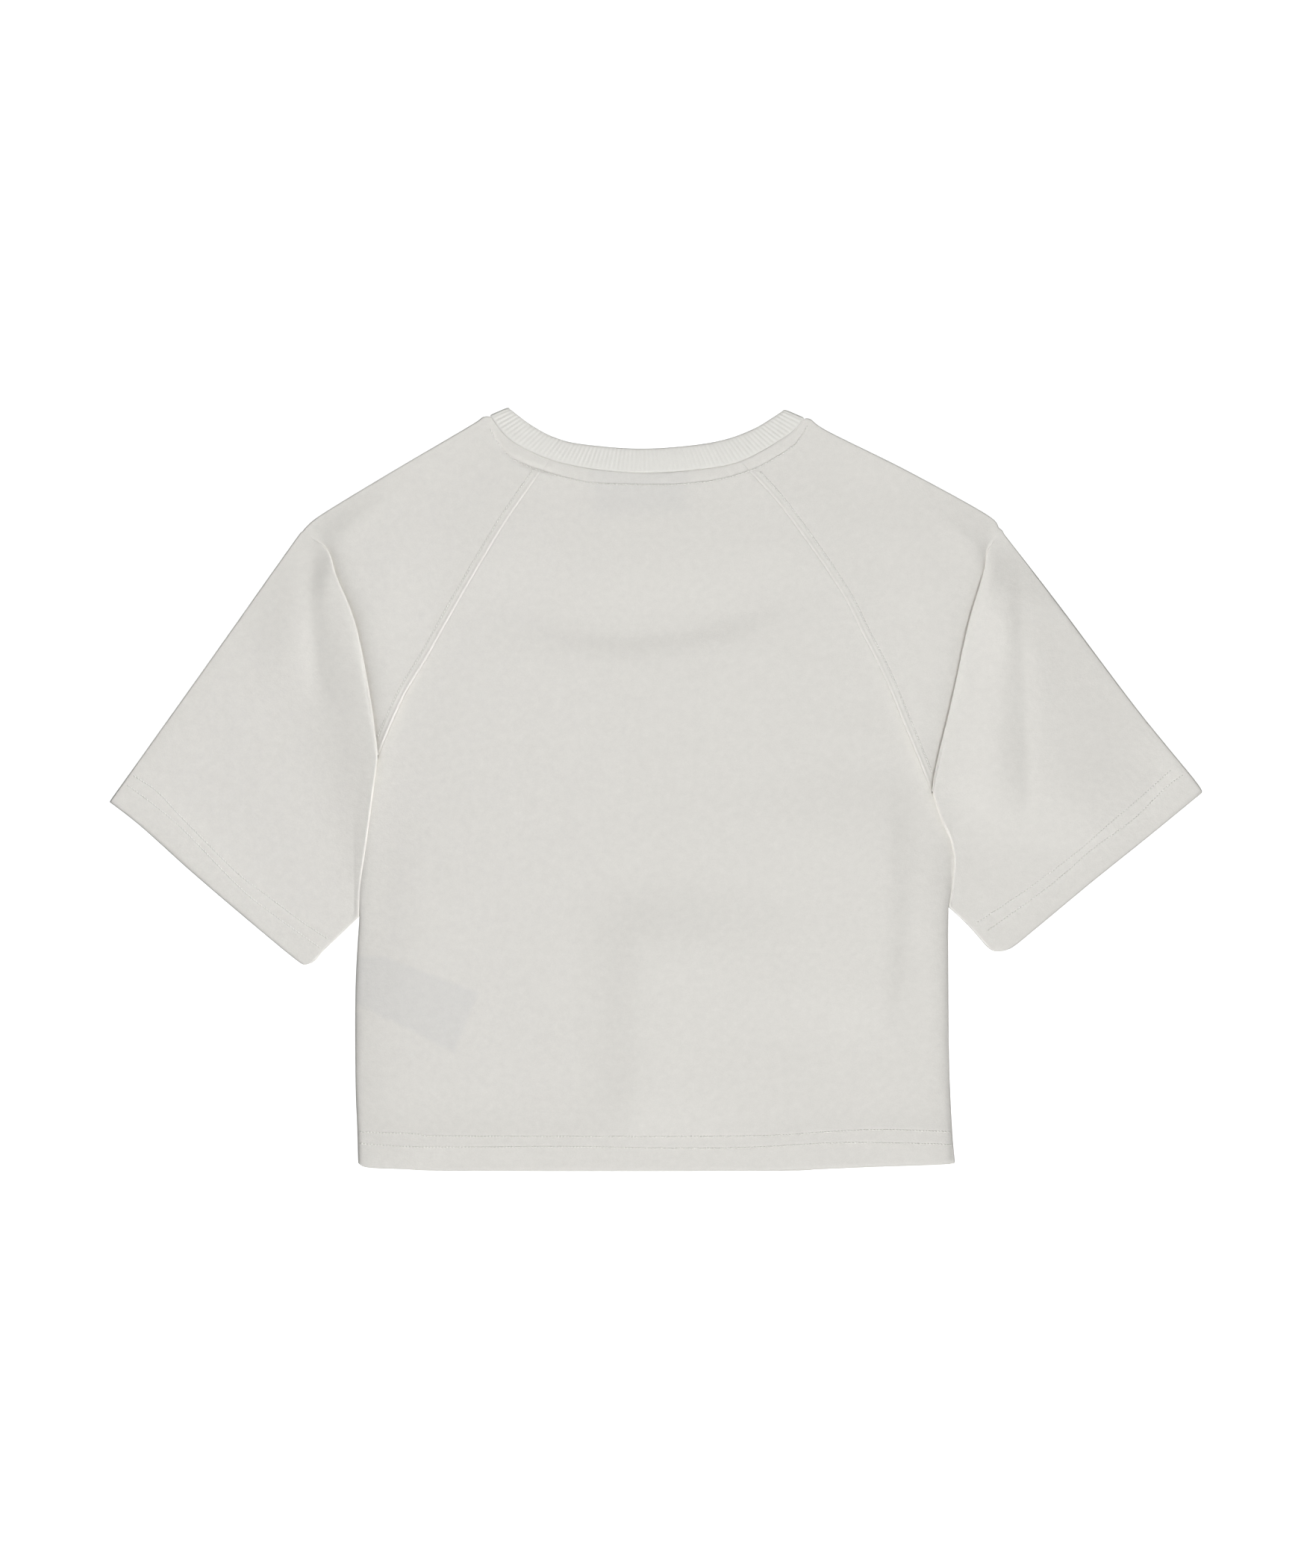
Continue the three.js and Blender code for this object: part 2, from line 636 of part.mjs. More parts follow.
addPiece('front_panel', frontPanel(), fleece);
addPiece('back_panel', backPanel(), fleece);
addPiece('sleeve_left', sleeve('left'), fleece);
addPiece('sleeve_right', sleeve('right'), fleece);
addPiece('neck_rib', neckRib(), rib);

export default garment;
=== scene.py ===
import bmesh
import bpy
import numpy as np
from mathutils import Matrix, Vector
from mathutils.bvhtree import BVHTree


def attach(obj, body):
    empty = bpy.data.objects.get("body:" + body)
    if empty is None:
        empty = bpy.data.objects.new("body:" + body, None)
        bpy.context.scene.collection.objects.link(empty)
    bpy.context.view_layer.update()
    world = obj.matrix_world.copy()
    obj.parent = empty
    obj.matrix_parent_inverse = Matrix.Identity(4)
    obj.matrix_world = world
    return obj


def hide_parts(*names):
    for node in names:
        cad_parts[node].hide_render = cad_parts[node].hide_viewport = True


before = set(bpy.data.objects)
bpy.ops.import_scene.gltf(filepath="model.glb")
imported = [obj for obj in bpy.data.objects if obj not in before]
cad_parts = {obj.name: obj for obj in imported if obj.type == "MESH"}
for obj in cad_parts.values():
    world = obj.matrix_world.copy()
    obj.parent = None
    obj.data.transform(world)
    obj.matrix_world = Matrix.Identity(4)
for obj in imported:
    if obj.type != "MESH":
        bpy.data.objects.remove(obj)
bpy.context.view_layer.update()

# A cropped, short-sleeved raglan sweatshirt in ivory fleece, laid flat on its
# front so its back shows. Sizes and tables are in millimetres, as a maker gives
# them, and the meshes are in metres. The wearer's left is at -X, and +Y goes
# from the hem to the neck.

MM = 0.001

# ---------------------------------------------------------------- sizes

CLOTH = 1.5  # wall of the fleece
GAP = 0.3  # between two layers
RIB = 2.2  # wall of the collar, its rib folded double
TURN_UP = 0.9  # what the turned-up hem and cuffs add to the wall
HEM_DEPTH = 28
CUFF_DEPTH = 24
STEP = 2  # length over which a turned-up layer ends
SOFT_STEP = 34  # the same as felt through the layer above
ROLL = 6  # how far in a layer rounds over at a side or underarm seam
LIP = 2.6  # the same on a sleeve, whose edge stands above the body
EDGE_ROLL = ROLL / 1.6  # the same at the turned edge of a hem or cuff
FADE = 40  # distance in which folds die out towards a hem or cuff
BODY_WIDTH = 440
CROWN = 3.8  # how far the back lifts off the front at mid body
SIDE_GAP = 0.01  # half of what shows between two sewn edges
UNDER_SLEEVE = 1.2  # how far the back's side reaches under the sleeve's edge

PLEAT_RISE = 3.6  # step of the sleeve's fold above the shoulder's cloth
PLEAT_TUCK = 5  # how far the fold covers the cloth beneath it
PLEAT_TURN = PLEAT_RISE / 4  # radius of its two bends
PLEAT_RAMP = 3  # width of the same step where it only starts, at the shoulder
PLEAT_REACH = 110  # distance in which the sleeve sinks back to its level
SWELL = 3.4  # how far the shoulder's cloth swells beside the fold

WALES = 75  # ribs across the back of the collar
WALE_RISE = 0.23  # from the bottom of a rib to its top
RAGLAN_BAND = 5.6  # from a raglan seam to the stitching on its sleeve side
STITCH = 2.4  # length of a stitch with its gap
THREAD = 0.85  # thickness of the thread

# ------------------------------------------------- outlines as laid, [x, y]

HALVES = {
    "left": {
        "shoulder": [(-121.8, 274.2), (-127.5, 274), (-137, 267.5), (-196, 232.5),
                     (-246, 201.8), (-259, 191)],
        "overarm": [(-259, 191), (-267, 181), (-335, 84.5), (-402, -10)],
        "cuff": [(-402, -10), (-379, -28), (-344, -59.5), (-305.5, -92.5), (-265, -126),
                 (-257, -129.5)],
        "underarm": [(-218.4, -94), (-234.5, -109.5), (-245, -119.5), (-251.5, -127),
                     (-257, -129.5)],
        "raglan": [(-78, 242.7), (-108, 200), (-130.5, 163), (-147, 134.5), (-168.5, 96),
                   (-185.5, 67.5), (-204.3, 25)],
        "front_raglan": [(-101, 216), (-128, 160), (-150, 116), (-176, 70), (-204.3, 25)],
        "beside_sleeve": [(-204.3, 25), (-207.6, 0), (-213.7, -46), (-217.3, -72),
                          (-218.4, -94)],
        "side": [(-218.4, -94), (-221.3, -147), (-221.3, -215), (-220, -250),
                 (-219.3, -275.5)],
        "pleat": [(-259, 191), (-242, 177), (-235, 157), (-221, 122), (-210, 67),
                  (-204.3, 25)],
    },
    "right": {
        "shoulder": [(109.2, 272.2), (114, 272.5), (127.5, 263.2), (185, 234.3), (243, 202),
                     (253, 191.5)],
        "overarm": [(253, 191.5), (261, 181.5), (302, 127.5), (354, 58.5), (397, 5.5),
                    (401.8, -3.5)],
        "cuff": [(401.8, -3.5), (394.5, -9.5), (360, -37.7), (321, -69), (282.5, -101),
                 (261.5, -117.5), (249.5, -119.8)],
        "underarm": [(215.8, -87), (226.3, -97), (235, -106), (244.5, -116.8),
                     (249.5, -119.8)],
        "raglan": [(63, 241.6), (68.5, 234.5), (94.5, 205), (134.5, 148), (153, 112.5),
                   (168, 83), (189, 32.5), (203.2, -2)],
        "front_raglan": [(87, 216), (113, 160), (140, 110), (168, 60), (203.2, -2)],
        "beside_sleeve": [(203.2, -2), (210.5, -24), (217.5, -39.5), (219.6, -57),
                          (215.8, -87)],
        "side": [(215.8, -87), (215.6, -120), (216.3, -200), (218.6, -252),
                 (220.5, -274.5)],
        "pleat": [(253, 191.5), (244, 177), (241.5, 160), (229.6, 119), (218.6, 68.5),
                  (206.5, 18), (203.2, -2)],
    },
}

HEM = [(-219.3, -275.5), (-212, -278.9), (-186, -280), (-142, -281.3), (80, -281.3),
       (122, -280), (166, -278.2), (214, -276.5), (220.5, -274.5)]

COLLAR = {
    "back_seam": [(-121.6, 273.8), (-107, 257), (-78, 242.7), (-43, 235.2), (-7, 232.8),
                  (30, 235.2), (63, 241.6), (96.5, 260), (109, 271.8)],
    "back_edge": [(-107.4, 279.9), (-91, 267.6), (-74.5, 259), (-54, 254), (-9, 250.7),
                  (40, 255), (70, 264.3), (93.5, 278.4)],
    "front_seam": [(-121.6, 273.8), (-118, 248), (-101, 216), (-62, 191), (-7, 182),
                   (48, 191), (87, 216), (104, 247), (109, 271.8)],
    "front_edge": [(-107.4, 279.9), (-101, 254), (-86, 229), (-52, 207), (-7, 200),
                   (38, 207), (72, 229), (88, 254), (93.5, 278.4)],
}
RAGLAN_AT = 2  # point of each collar seam, from its ends, where a raglan meets it

# ------------------------------------------------------- rows of stitching

STITCH_LINES = {
    "hem_upper": [(-218.5, -252.5), (-176, -253.8), (-150, -255.5), (60, -255.5),
                  (127, -252.3), (166, -250.7), (217, -252.5)],
    "hem_lower": [(-218, -261), (-168, -263.5), (-67, -263.2), (10, -264.3), (68, -263.8),
                  (136, -260.4), (195, -261), (218.5, -262)],
    "cuff_left_upper": [(-385, 10), (-366.6, -2.5), (-349.3, -20.9), (-308.8, -61.3),
                        (-287.9, -77.3), (-261.5, -97.1), (-241.5, -110.5)],
    "cuff_left_lower": [(-389.5, 3), (-366.6, -14), (-345.7, -32.2), (-305.5, -73.4),
                        (-279.1, -94.3), (-246.5, -117.5)],
    "cuff_right_upper": [(379.5, 14), (360, -3.6), (333.6, -26.1), (307.2, -49),
                         (272, -75.1), (236, -99)],
    "cuff_right_lower": [(388.5, 10.5), (373.7, -0.8), (351.2, -22.8), (321.2, -44.8),
                         (289.6, -71.8), (243.5, -105)],
    "neck": [(-122, 265.5), (-118.3, 257.7), (-109.2, 246.1), (-96, 238.4), (-81, 233),
             (-65, 229), (-47, 225.4), (-14, 224.1), (16, 224.3), (45, 227.4),
             (70, 234.7), (85.5, 242.3), (102.6, 253.8), (112, 268)],
}

# Soft creases and swells: a line, how wide it is to its left and to its right,
# and how far it rises or sinks.
SOFT_FOLDS = {
    "back": [
        ([(-150, 157), (-67, 121), (-5, 116), (57, 128), (118, 159)], 34, 14, -2.8),
        ([(-9, -70), (-9, -190), (-11, -275)], 75, 22, 5.2),
        ([(166, 20), (168, -70), (166, -130), (160, -200)], 15, 90, 3.2),
        ([(-190, -10), (-196, -60), (-203, -130)], 14, 10, -0.7),
        ([(108, 172), (142, 104), (178, 36)], 12, 34, -0.6),
        ([(-110, 275), (-190, 240), (-262, 196)], 40, 40, -1.4),
        ([(-170, 212), (-195, 165), (-208, 110)], 14, 20, 0.5),
        ([(100, 276), (180, 240), (256, 196)], 36, 36, -1.3),
        ([(160, 215), (185, 170), (200, 115)], 20, 14, 0.4),
    ],
    "left": [
        ([(-250, 190), (-254, 145), (-250, 96), (-243, 50)], 9, 9, -1.3),
        ([(-226, 172), (-218, 120), (-206, 60), (-205, -20)], 5, 28, 0.7),
        ([(-268, 170), (-276, 120), (-278, 60)], 14, 22, 0.6),
        ([(-300, 130), (-308, 60), (-302, 0)], 16, 26, -0.5),
        ([(-245, -30), (-262, -70), (-272, -104)], 10, 20, -0.8),
    ],
    "right": [
        ([(266, 190), (265, 150), (262, 100), (256, 40), (250, -50)], 80, 31, 6.5),
        ([(266, 168), (270, 90), (273, 20), (275, -40)], 8, 8, -0.9),
        ([(340, 45), (345, 0), (330, -35)], 16, 16, -0.35),
        ([(375, 22), (366, 2), (352, -18)], 8, 8, -0.6),
    ],
}

# What shows faintly through the back: each label's corners in order, how strong
# its tone is, over which distance its edge is soft, and its border's lighter tone.
LABELS = {
    "care": {"corners": [(-226, -121), (-199, -122), (-128, -149), (-148, -197.5),
                         (-218, -161), (-226, -157)],
             "tone": 0.11, "soft": 5, "border": 0.05},
    "neck": {"corners": [(-48, 240), (26, 240), (22, 203), (-44, 203)],
             "tone": 0.08, "soft": 9, "border": 0},
}

# ------------------------------------------------------------ small tools


PER_SPAN = 40  # points of a spline from one given point to the next


def smooth(share):
    """An S-shaped step from 0 to 1: three squares less two cubes."""
    share = np.clip(share, 0, 1)
    return share * share * (3 - 2 * share)


def spline(points):
    """Points along a Catmull-Rom line: each span is the cubic that leaves and
    meets its ends along the direction between their neighbours."""
    p = np.array(points, float)
    before, after = np.vstack([p[:1], p[:-2]]), np.vstack([p[2:], p[-1:]])
    start, end = p[:-1], p[1:]
    leave, meet = (end - before) / 2, (after - start) / 2
    start, end, leave, meet = (a[:, None] for a in (start, end, leave, meet))
    t = np.linspace(0, 1, PER_SPAN, endpoint=False)[None, :, None]
    line = (
        (2 * start - 2 * end + leave + meet) * t**3
        + (3 * end - 3 * start - 2 * leave - meet) * t**2
        + leave * t
        + start
    )
    return np.vstack([line.reshape(-1, 2), p[-1:]])


def lengths(line):
    """The length of a line up to each of its points."""
    return np.concatenate([[0], np.cumsum(np.linalg.norm(np.diff(line, axis=0), axis=1))])


def along(line, shares):
    """The points of a line at shares of its length."""
    run = lengths(line)
    at = np.clip(shares, 0, 1) * run[-1]
    return np.stack([np.interp(at, run, line[:, 0]), np.interp(at, run, line[:, 1])], -1)


def moved_left(line, by):
    """Each point of a line moved sideways, square to the direction between its
    neighbours."""
    ahead = np.gradient(line, axis=0)
    ahead /= np.linalg.norm(ahead, axis=1, keepdims=True)
    return line + by * np.stack([-ahead[:, 1], ahead[:, 0]], -1)


def from_line(points, line, pieces=70):
    """How far points are from a line, positive to its left, and at which share of
    it: the nearest of its short straight pieces."""
    marks = along(line, np.linspace(0, 1, pieces + 1))
    nearest = np.full(points.shape[:-1], np.inf)
    share = np.zeros(points.shape[:-1])
    side = np.ones(points.shape[:-1])
    for i, (a, b) in enumerate(zip(marks[:-1], marks[1:])):
        span, offset = b - a, points - a
        t = np.clip((offset @ span) / (span @ span), 0, 1)
        away = np.linalg.norm(offset - t[..., None] * span, axis=-1)
        closer = away < nearest
        nearest = np.where(closer, away, nearest)
        share = np.where(closer, (i + t) / pieces, share)
        cross = span[0] * offset[..., 1] - span[1] * offset[..., 0]
        side = np.where(closer, np.where(cross < 0, -1, 1), side)
    return nearest * side, share


def distance_from(points, line):
    """How far points are from a line."""
    return np.abs(from_line(points, line)[0])


def patch(first, last, starts, ends, shares):
    """Rows of points between a first and a last line, from starts to ends: the
    blend of both pairs of edges, less the blend of the four corners."""
    v = (lengths(starts) / lengths(starts)[-1] + lengths(ends) / lengths(ends)[-1]) / 2
    v = v[:, None, None]
    shares = np.broadcast_to(shares, (len(starts), np.shape(shares)[-1]))
    u = shares[..., None]
    across = along(first, shares) * (1 - v) + along(last, shares) * v
    rows = starts[:, None] * (1 - u) + ends[:, None] * u
    corners = (first[0] * (1 - u) + first[-1] * u) * (1 - v)
    corners = corners + (last[0] * (1 - u) + last[-1] * u) * v
    return across + rows - corners


def finer(*stretches):
    """Stations from stretches of (end, step), each divided evenly, from 0."""
    stations, start = [0.0], 0.0
    for end, step in stretches:
        count = max(1, round((end - start) / step))
        stations.extend(start + (end - start) * (np.arange(count) + 1) / count)
        start = end
    return np.array(stations)


def rolled(inward, width=ROLL):
    """Height of a rounded edge, as a share, at a distance in from it: a quarter
    of an ellipse."""
    return np.sqrt(1 - (1 - np.clip(inward / width, 0, 1)) ** 2)


def turned_up(from_edge, depth, step=STEP):
    """Share of its turned-up layer that a hem has, at a distance from its edge.
    On the face it ends over a longer step."""
    return 1 - smooth((from_edge - depth + step / 2) / step)


def new_piece(name, points, faces, smooth_faces=True):
    """A mesh object from points in millimetres and faces, both as arrays."""
    mesh = bpy.data.meshes.new(name)
    faces = np.asarray(faces, np.int32)
    sides = faces.shape[1]
    mesh.vertices.add(len(points))
    mesh.vertices.foreach_set("co", (points * MM).astype(np.float32).ravel())
    mesh.loops.add(faces.size)
    mesh.loops.foreach_set("vertex_index", faces.ravel())
    mesh.polygons.add(len(faces))
    mesh.polygons.foreach_set("loop_start", np.arange(len(faces), dtype=np.int32) * sides)
    mesh.polygons.foreach_set("use_smooth", np.full(len(faces), smooth_faces))
    mesh.update(calc_edges=True)
    mesh.validate()
    piece = bpy.data.objects.new(name, mesh)
    bpy.context.scene.collection.objects.link(piece)
    return piece


def at_height(plan, height):
    """Points in space over those of a plan."""
    return np.concatenate([plan, height[..., None]], -1)


def facing_out(points, faces):
    """Faces turned outwards: all of them are reversed if the volume they close,
    summed up from their corners, comes out negative."""
    corners = points[faces[:, :3]]
    volume = np.einsum("ij,ij->", corners[:, 0], np.cross(corners[:, 1], corners[:, 2]))
    return faces if volume > 0 else faces[:, ::-1]


def wall_piece(name, face, back):
    """A closed wall from a grid of points on its face and one on its back: both
    grids' squares, and a rim between their borders."""
    rows, columns = face.shape[:2]
    index = np.arange(rows * columns).reshape(rows, columns)
    other = index + rows * columns
    squares = np.stack([index[:-1, :-1], index[:-1, 1:], index[1:, 1:], index[1:, :-1]], -1)
    faces = [squares.reshape(-1, 4), (squares + rows * columns).reshape(-1, 4)[:, ::-1]]
    rim = np.concatenate([index[0], index[1:, -1], index[-1, -2::-1], index[-2:0:-1, 0]])
    rim_back = rim + rows * columns
    faces.append(np.stack([rim, rim_back, np.roll(rim_back, -1), np.roll(rim, -1)], -1))
    points = np.concatenate([face.reshape(-1, 3), back.reshape(-1, 3)])
    return new_piece(name, points, facing_out(points, np.concatenate(faces)))


# ---------------------------------------------------------------- relief

NECK_SEAM = spline(COLLAR["back_seam"])
SEWN = {name: spline(points) for name, points in STITCH_LINES.items()}
RAGLANS = {name: spline(half["raglan"]) for name, half in HALVES.items()}
for name, seam in RAGLANS.items():
    beside = moved_left(seam, -RAGLAN_BAND if name == "left" else RAGLAN_BAND)
    SEWN[f"raglan_{name}"] = along(beside, np.linspace(0.05, 0.955, 400))


def lift(xy):
    """How far the upper layer is lifted off the lower one: full over the body, and
    falling softly towards the hem and the shoulders. Below the arms it falls nearly
    as an ellipse at the sides, in a wider strip on the left, and as a cube above."""
    x, y = xy[..., 0], xy[..., 1]
    from_side = np.clip(np.minimum((x + 222) / 52, (218 - x) / 18), 0, 1)
    rounded = (1 - (1 - from_side) ** 2) ** 0.75
    gentle = np.clip(1 - (np.abs(x) / 235) ** 3, 0, 1)
    below_arms = smooth((10 - y) / 100)
    across = rounded * below_arms + gentle * (1 - below_arms)
    return CROWN * across * smooth((y + 420) / 300) * smooth((290 - y) / 190)


def middle_height(xy):
    """Height of the middle of the upper layer's wall, before its folds."""
    return CLOTH + GAP + lift(xy) + CLOTH / 2


def ripple(xy):
    """Faint unevenness of cloth that was laid by hand: a few sine waves in turned
    directions, each bent a little by the next."""
    waves = ((71, 18, 0.11), (47, 101, 0.09), (29, 58, 0.05), (17, 143, 0.03), (11, 12, 0.02))
    total, bend = np.zeros(xy.shape[:-1]), np.zeros(xy.shape[:-1])
    for length, angle, rise in waves:
        turn = np.radians(angle)
        run = xy[..., 0] * np.cos(turn) + xy[..., 1] * np.sin(turn)
        wave = np.sin(2 * np.pi * run / length + bend)
        total, bend = total + rise * wave, bend + 1.3 * wave
    return total


def soft_folds(xy, group):
    """The creases and swells of one group: each is a bell across its line, with a
    width of its own on each side, that fades towards both of its ends."""
    total = np.zeros(xy.shape[:-1])
    for line, left, right, rise in SOFT_FOLDS[group]:
        away, share = from_line(xy, spline(line), 24)
        fade = smooth(share / 0.25) * smooth((1 - share) / 0.25)
        total += rise * fade * np.exp(-((away / np.where(away > 0, left, right)) ** 2))
    return total


def groove(xy, line, width, depth):
    """A narrow furrow along a line, a bell across it."""
    away, share = from_line(xy, line)
    ends = smooth(share * 60) * smooth((1 - share) * 60)
    return -depth * ends * np.exp(-((away / width) ** 2))


def band(xy, seam, stitching, width, rise):
    """The double cloth between a seam and its topstitching: raised where both
    are near, and falling off steeply at each."""
    to_seam, to_stitching = distance_from(xy, seam), distance_from(xy, stitching)
    between = smooth((width + 1.2 - to_seam - to_stitching) / 0.8)
    return rise * between * smooth(to_seam / 1.2) * smooth((to_stitching + 0.3) / 1.2)


def neck_sewing(xy):
    """The band below the collar: the cloth below its topstitching puffs up a little
    and drops steeply at it, most where the band is puckered beside the left
    shoulder, and the band itself rises again towards the seam."""
    away, share = from_line(xy, SEWN["neck"])
    pucker = smooth((share - 0.01) / 0.06) * smooth((0.27 - share) / 0.08)
    strength = (0.45 + 0.9 * pucker) * smooth(share / 0.02) * smooth((1 - share) / 0.02)
    puff = 0.55 * np.exp(-(((away + 1.7) / np.where(away < -1.7, 4.5, 1.5)) ** 2))
    drop = (0.6 + 0.5 * pucker) * np.exp(-(((away - 1) / np.where(away < 1, 1, 2.4)) ** 2))
    return strength * (puff - drop) + groove(xy, NECK_SEAM, 0.8, 0.3)


def sewing(xy, sides, on_sleeve):
    """What sewing does to the cloth: the collar's band, and beside each raglan seam
    a shallow ditch, a thin ridge, a crease and a raised band on the sleeve side."""
    total = neck_sewing(xy)
    below = smooth((-from_line(xy, SEWN["neck"])[0] + 1) / 2)
    for side in sides:
        total += groove(xy, RAGLANS[side], 0.7, 0.16)
        if on_sleeve:
            stitching = SEWN[f"raglan_{side}"]
            away = distance_from(xy, RAGLANS[side])
            total += below * 0.17 * np.exp(-(((away - 1.4) / 0.7) ** 2))
            total -= below * 0.08 * np.exp(-(((away - 2.8) / 0.7) ** 2))
            total += below * band(xy, RAGLANS[side], stitching, RAGLAN_BAND, 0.35)
            total += groove(xy, stitching, 0.7, 0.15)
    return total


# ------------------------------------------------------------ body panels


def panel_side(half, raglan, inward, steps, under):
    """One side of a panel, from the hem up to the collar. Beside the sleeve it
    reaches under the sleeve's edge, most halfway and not at all at both ends."""
    below, beside, above = steps
    side, sleeve_side = spline(half["side"]), spline(half["beside_sleeve"])
    line = np.vstack([
        along(side, 1 - below / below[-1]),
        along(sleeve_side, 1 - beside)[1:],
        along(spline(half[raglan]), 1 - above)[1:],
    ])
    reach = np.zeros(len(line))
    reach[len(below) - 1:][: len(beside)] = np.minimum(1, 8 * beside * (1 - beside))
    return moved_left(line, (inward - np.sign(inward) * under * reach)[:, None])


def panel_plan(raglan, neck_seam, steps, across, under=0.0):
    """A panel's points from above: rows from the hem to the collar, between both
    sides, with the columns at shares of the hem's width."""
    left = panel_side(HALVES["left"], raglan, -SIDE_GAP, steps, under)
    right = panel_side(HALVES["right"], raglan, SIDE_GAP, steps, under)
    count = len(neck_seam) - 1
    whole = spline(neck_seam)
    part = slice(RAGLAN_AT * PER_SPAN, (count - RAGLAN_AT) * PER_SPAN + 1)
    top = moved_left(whole, -SIDE_GAP)[part]
    hem = spline(HEM)
    left[[0, -1]], right[[0, -1]] = (hem[0], top[0]), (hem[-1], top[-1])
    return patch(hem, top, left, right, across)


def hem_distance(xy):
    """How far points of a panel are up from the edge of its hem."""
    return distance_from(xy, spline(HEM))


def side_rounding(plan, armpit_row):
    """Share of its wall's height that a panel has at a distance from its sides: a
    quarter of an ellipse up to the armpits, and all of it beside a raglan seam."""
    to_left = np.linalg.norm(plan - plan[:, :1], axis=-1)
    to_right = np.linalg.norm(plan - plan[:, -1:], axis=-1)
    rows = np.arange(len(plan))[:, None]
    return np.where(rows <= armpit_row, rolled(np.minimum(to_left, to_right)), 1)


def back_cloth():
    """The back: a wall that lies on the front with a small lift and its creases,
    its sides rounded over, its hem one layer thicker, and its sewing raised and
    sunk on the face alone."""
    below = finer((4, 0.7), (14, 2), (33, 0.75), (182, 2.7))
    beside = np.linspace(0, 1, 46)
    above = np.concatenate([np.linspace(0, 0.93, 80), np.linspace(0.935, 1, 22)])
    edge = finer((3, 0.6), (10, 1.1)) / BODY_WIDTH
    middle = np.linspace(edge[-1], 1 - edge[-1], 146)[1:-1]
    across = np.concatenate([edge, middle, 1 - edge[::-1]])
    plan = panel_plan("raglan", COLLAR["back_seam"], (below, beside, above), across,
                      UNDER_SLEEVE)

    from_hem = hem_distance(plan)
    extra = TURN_UP * turned_up(from_hem, HEM_DEPTH, SOFT_STEP)
    folds = soft_folds(plan, "back") * smooth(from_hem / FADE)
    under = CLOTH + extra + GAP + np.maximum(0, lift(plan) + folds)
    round_side = side_rounding(plan, len(below) + len(beside) - 2)
    round_hem = 0.35 + 0.65 * rolled(from_hem, EDGE_ROLL)
    relief = sewing(plan, ("left", "right"), on_sleeve=False)
    relief += groove(plan, SEWN["hem_upper"], 0.8, 0.14)
    relief += groove(plan, SEWN["hem_lower"], 0.8, 0.12)
    relief += ripple(plan)
    wall = (CLOTH + extra) * np.minimum(0.1 + 0.9 * round_side, round_hem)
    top = under + wall + relief * round_side * smooth(from_hem / 6)
    top = np.maximum(top, under + 0.1)
    face = at_height(plan, top)
    back = at_height(plan, under)
    return wall_piece("back_cloth", face, back)


def front_cloth():
    """The front: a wall that lies flat on its outside, its edges rounded up."""
    below = finer((4, 1), (14, 5), (33, 2), (182, 12))
    beside, above = np.linspace(0, 1, 14), np.linspace(0, 1, 34)
    edge = finer((4, 1), (10, 3)) / BODY_WIDTH
    across = np.concatenate([edge, np.linspace(edge[-1], 1 - edge[-1], 50)[1:-1],
                             1 - edge[::-1]])
    plan = panel_plan("front_raglan", COLLAR["front_seam"], (below, beside, above), across)
    from_hem = hem_distance(plan)
    round_side = side_rounding(plan, len(below) + len(beside) - 2)
    round_hem = 0.5 + 0.5 * rolled(from_hem, EDGE_ROLL)
    up = 0.9 * CLOTH * (1 - np.minimum(round_side, round_hem))
    wall = CLOTH + TURN_UP * turned_up(from_hem, HEM_DEPTH)
    face = at_height(plan, up)
    back = at_height(plan, wall)
    return wall_piece("front_cloth", face, back)


# --------------------------------------------------------------- sleeves


def pleat_section(steps):
    """The fold's section from the shoulder's cloth to the sleeve's on top of it:
    two straight runs joined by half circles, at even shares of its length."""
    lip, inner, turn = CLOTH / 2 + PLEAT_TURN, PLEAT_TUCK - PLEAT_TURN, PLEAT_TURN
    down, up = np.radians(np.linspace(-90, 90, 13)), np.radians(np.linspace(270, 90, 13))
    line = np.vstack([
        [[0, 0]],
        np.stack([inner + turn * np.cos(down), turn + turn * np.sin(down)], -1),
        np.stack([lip + turn * np.cos(up), 3 * turn + turn * np.sin(up)], -1),
    ])
    return along(line, np.linspace(0, 1, steps))


def pleat_rise(u):
    """How high the fold stands at shares of its length: soft from nothing."""
    return PLEAT_RISE * smooth(u / 0.25)


def fold_rows(pleat, side, u, steps):
    """Rows through the fold, at shares u along it: the wall's face and its back,
    half its wall to each side of the section, square to it. The section is a soft
    ramp near the shoulder and a tucked fold beyond."""
    edge, ahead = along(pleat, u), along(pleat, u + 0.01) - along(pleat, u - 0.01)
    ahead /= np.linalg.norm(ahead, axis=1, keepdims=True)
    outward = side * np.stack([-ahead[:, 1], ahead[:, 0]], -1)
    share = np.linspace(0, 1, steps)[:, None]
    tucked = smooth((u - 0.03) / 0.12)[None]
    section = pleat_section(steps)
    x = share * PLEAT_RAMP * (1 - tucked) + section[:, :1] * tucked
    z = smooth(share) * (1 - tucked) + section[:, 1:] / PLEAT_RISE * tucked
    z = z * pleat_rise(u)[None]
    slope_x, slope_z = np.gradient(x, axis=0), np.gradient(z, axis=0)
    run = np.hypot(slope_x, slope_z)
    middle = middle_height(edge)[None]
    sides = []
    for way in (1, -1):
        out = x - way * slope_z / run * CLOTH / 2
        up = middle + z + way * slope_x / run * CLOTH / 2
        sides.append(at_height(edge[None] + outward[None] * out[..., None], up))
    return sides


def shoulder_swell(xy, pleat, shares):
    """The shoulder's cloth beside the fold: it swells and then sinks into the
    fold, a soft step out of the crease times a bell away from it."""
    away = distance_from(xy, pleat)
    out_of_crease = 1 - np.exp(-away / 4.5)
    return SWELL * out_of_crease * np.exp(-((away / 45) ** 2)) * smooth(shares / 0.15)


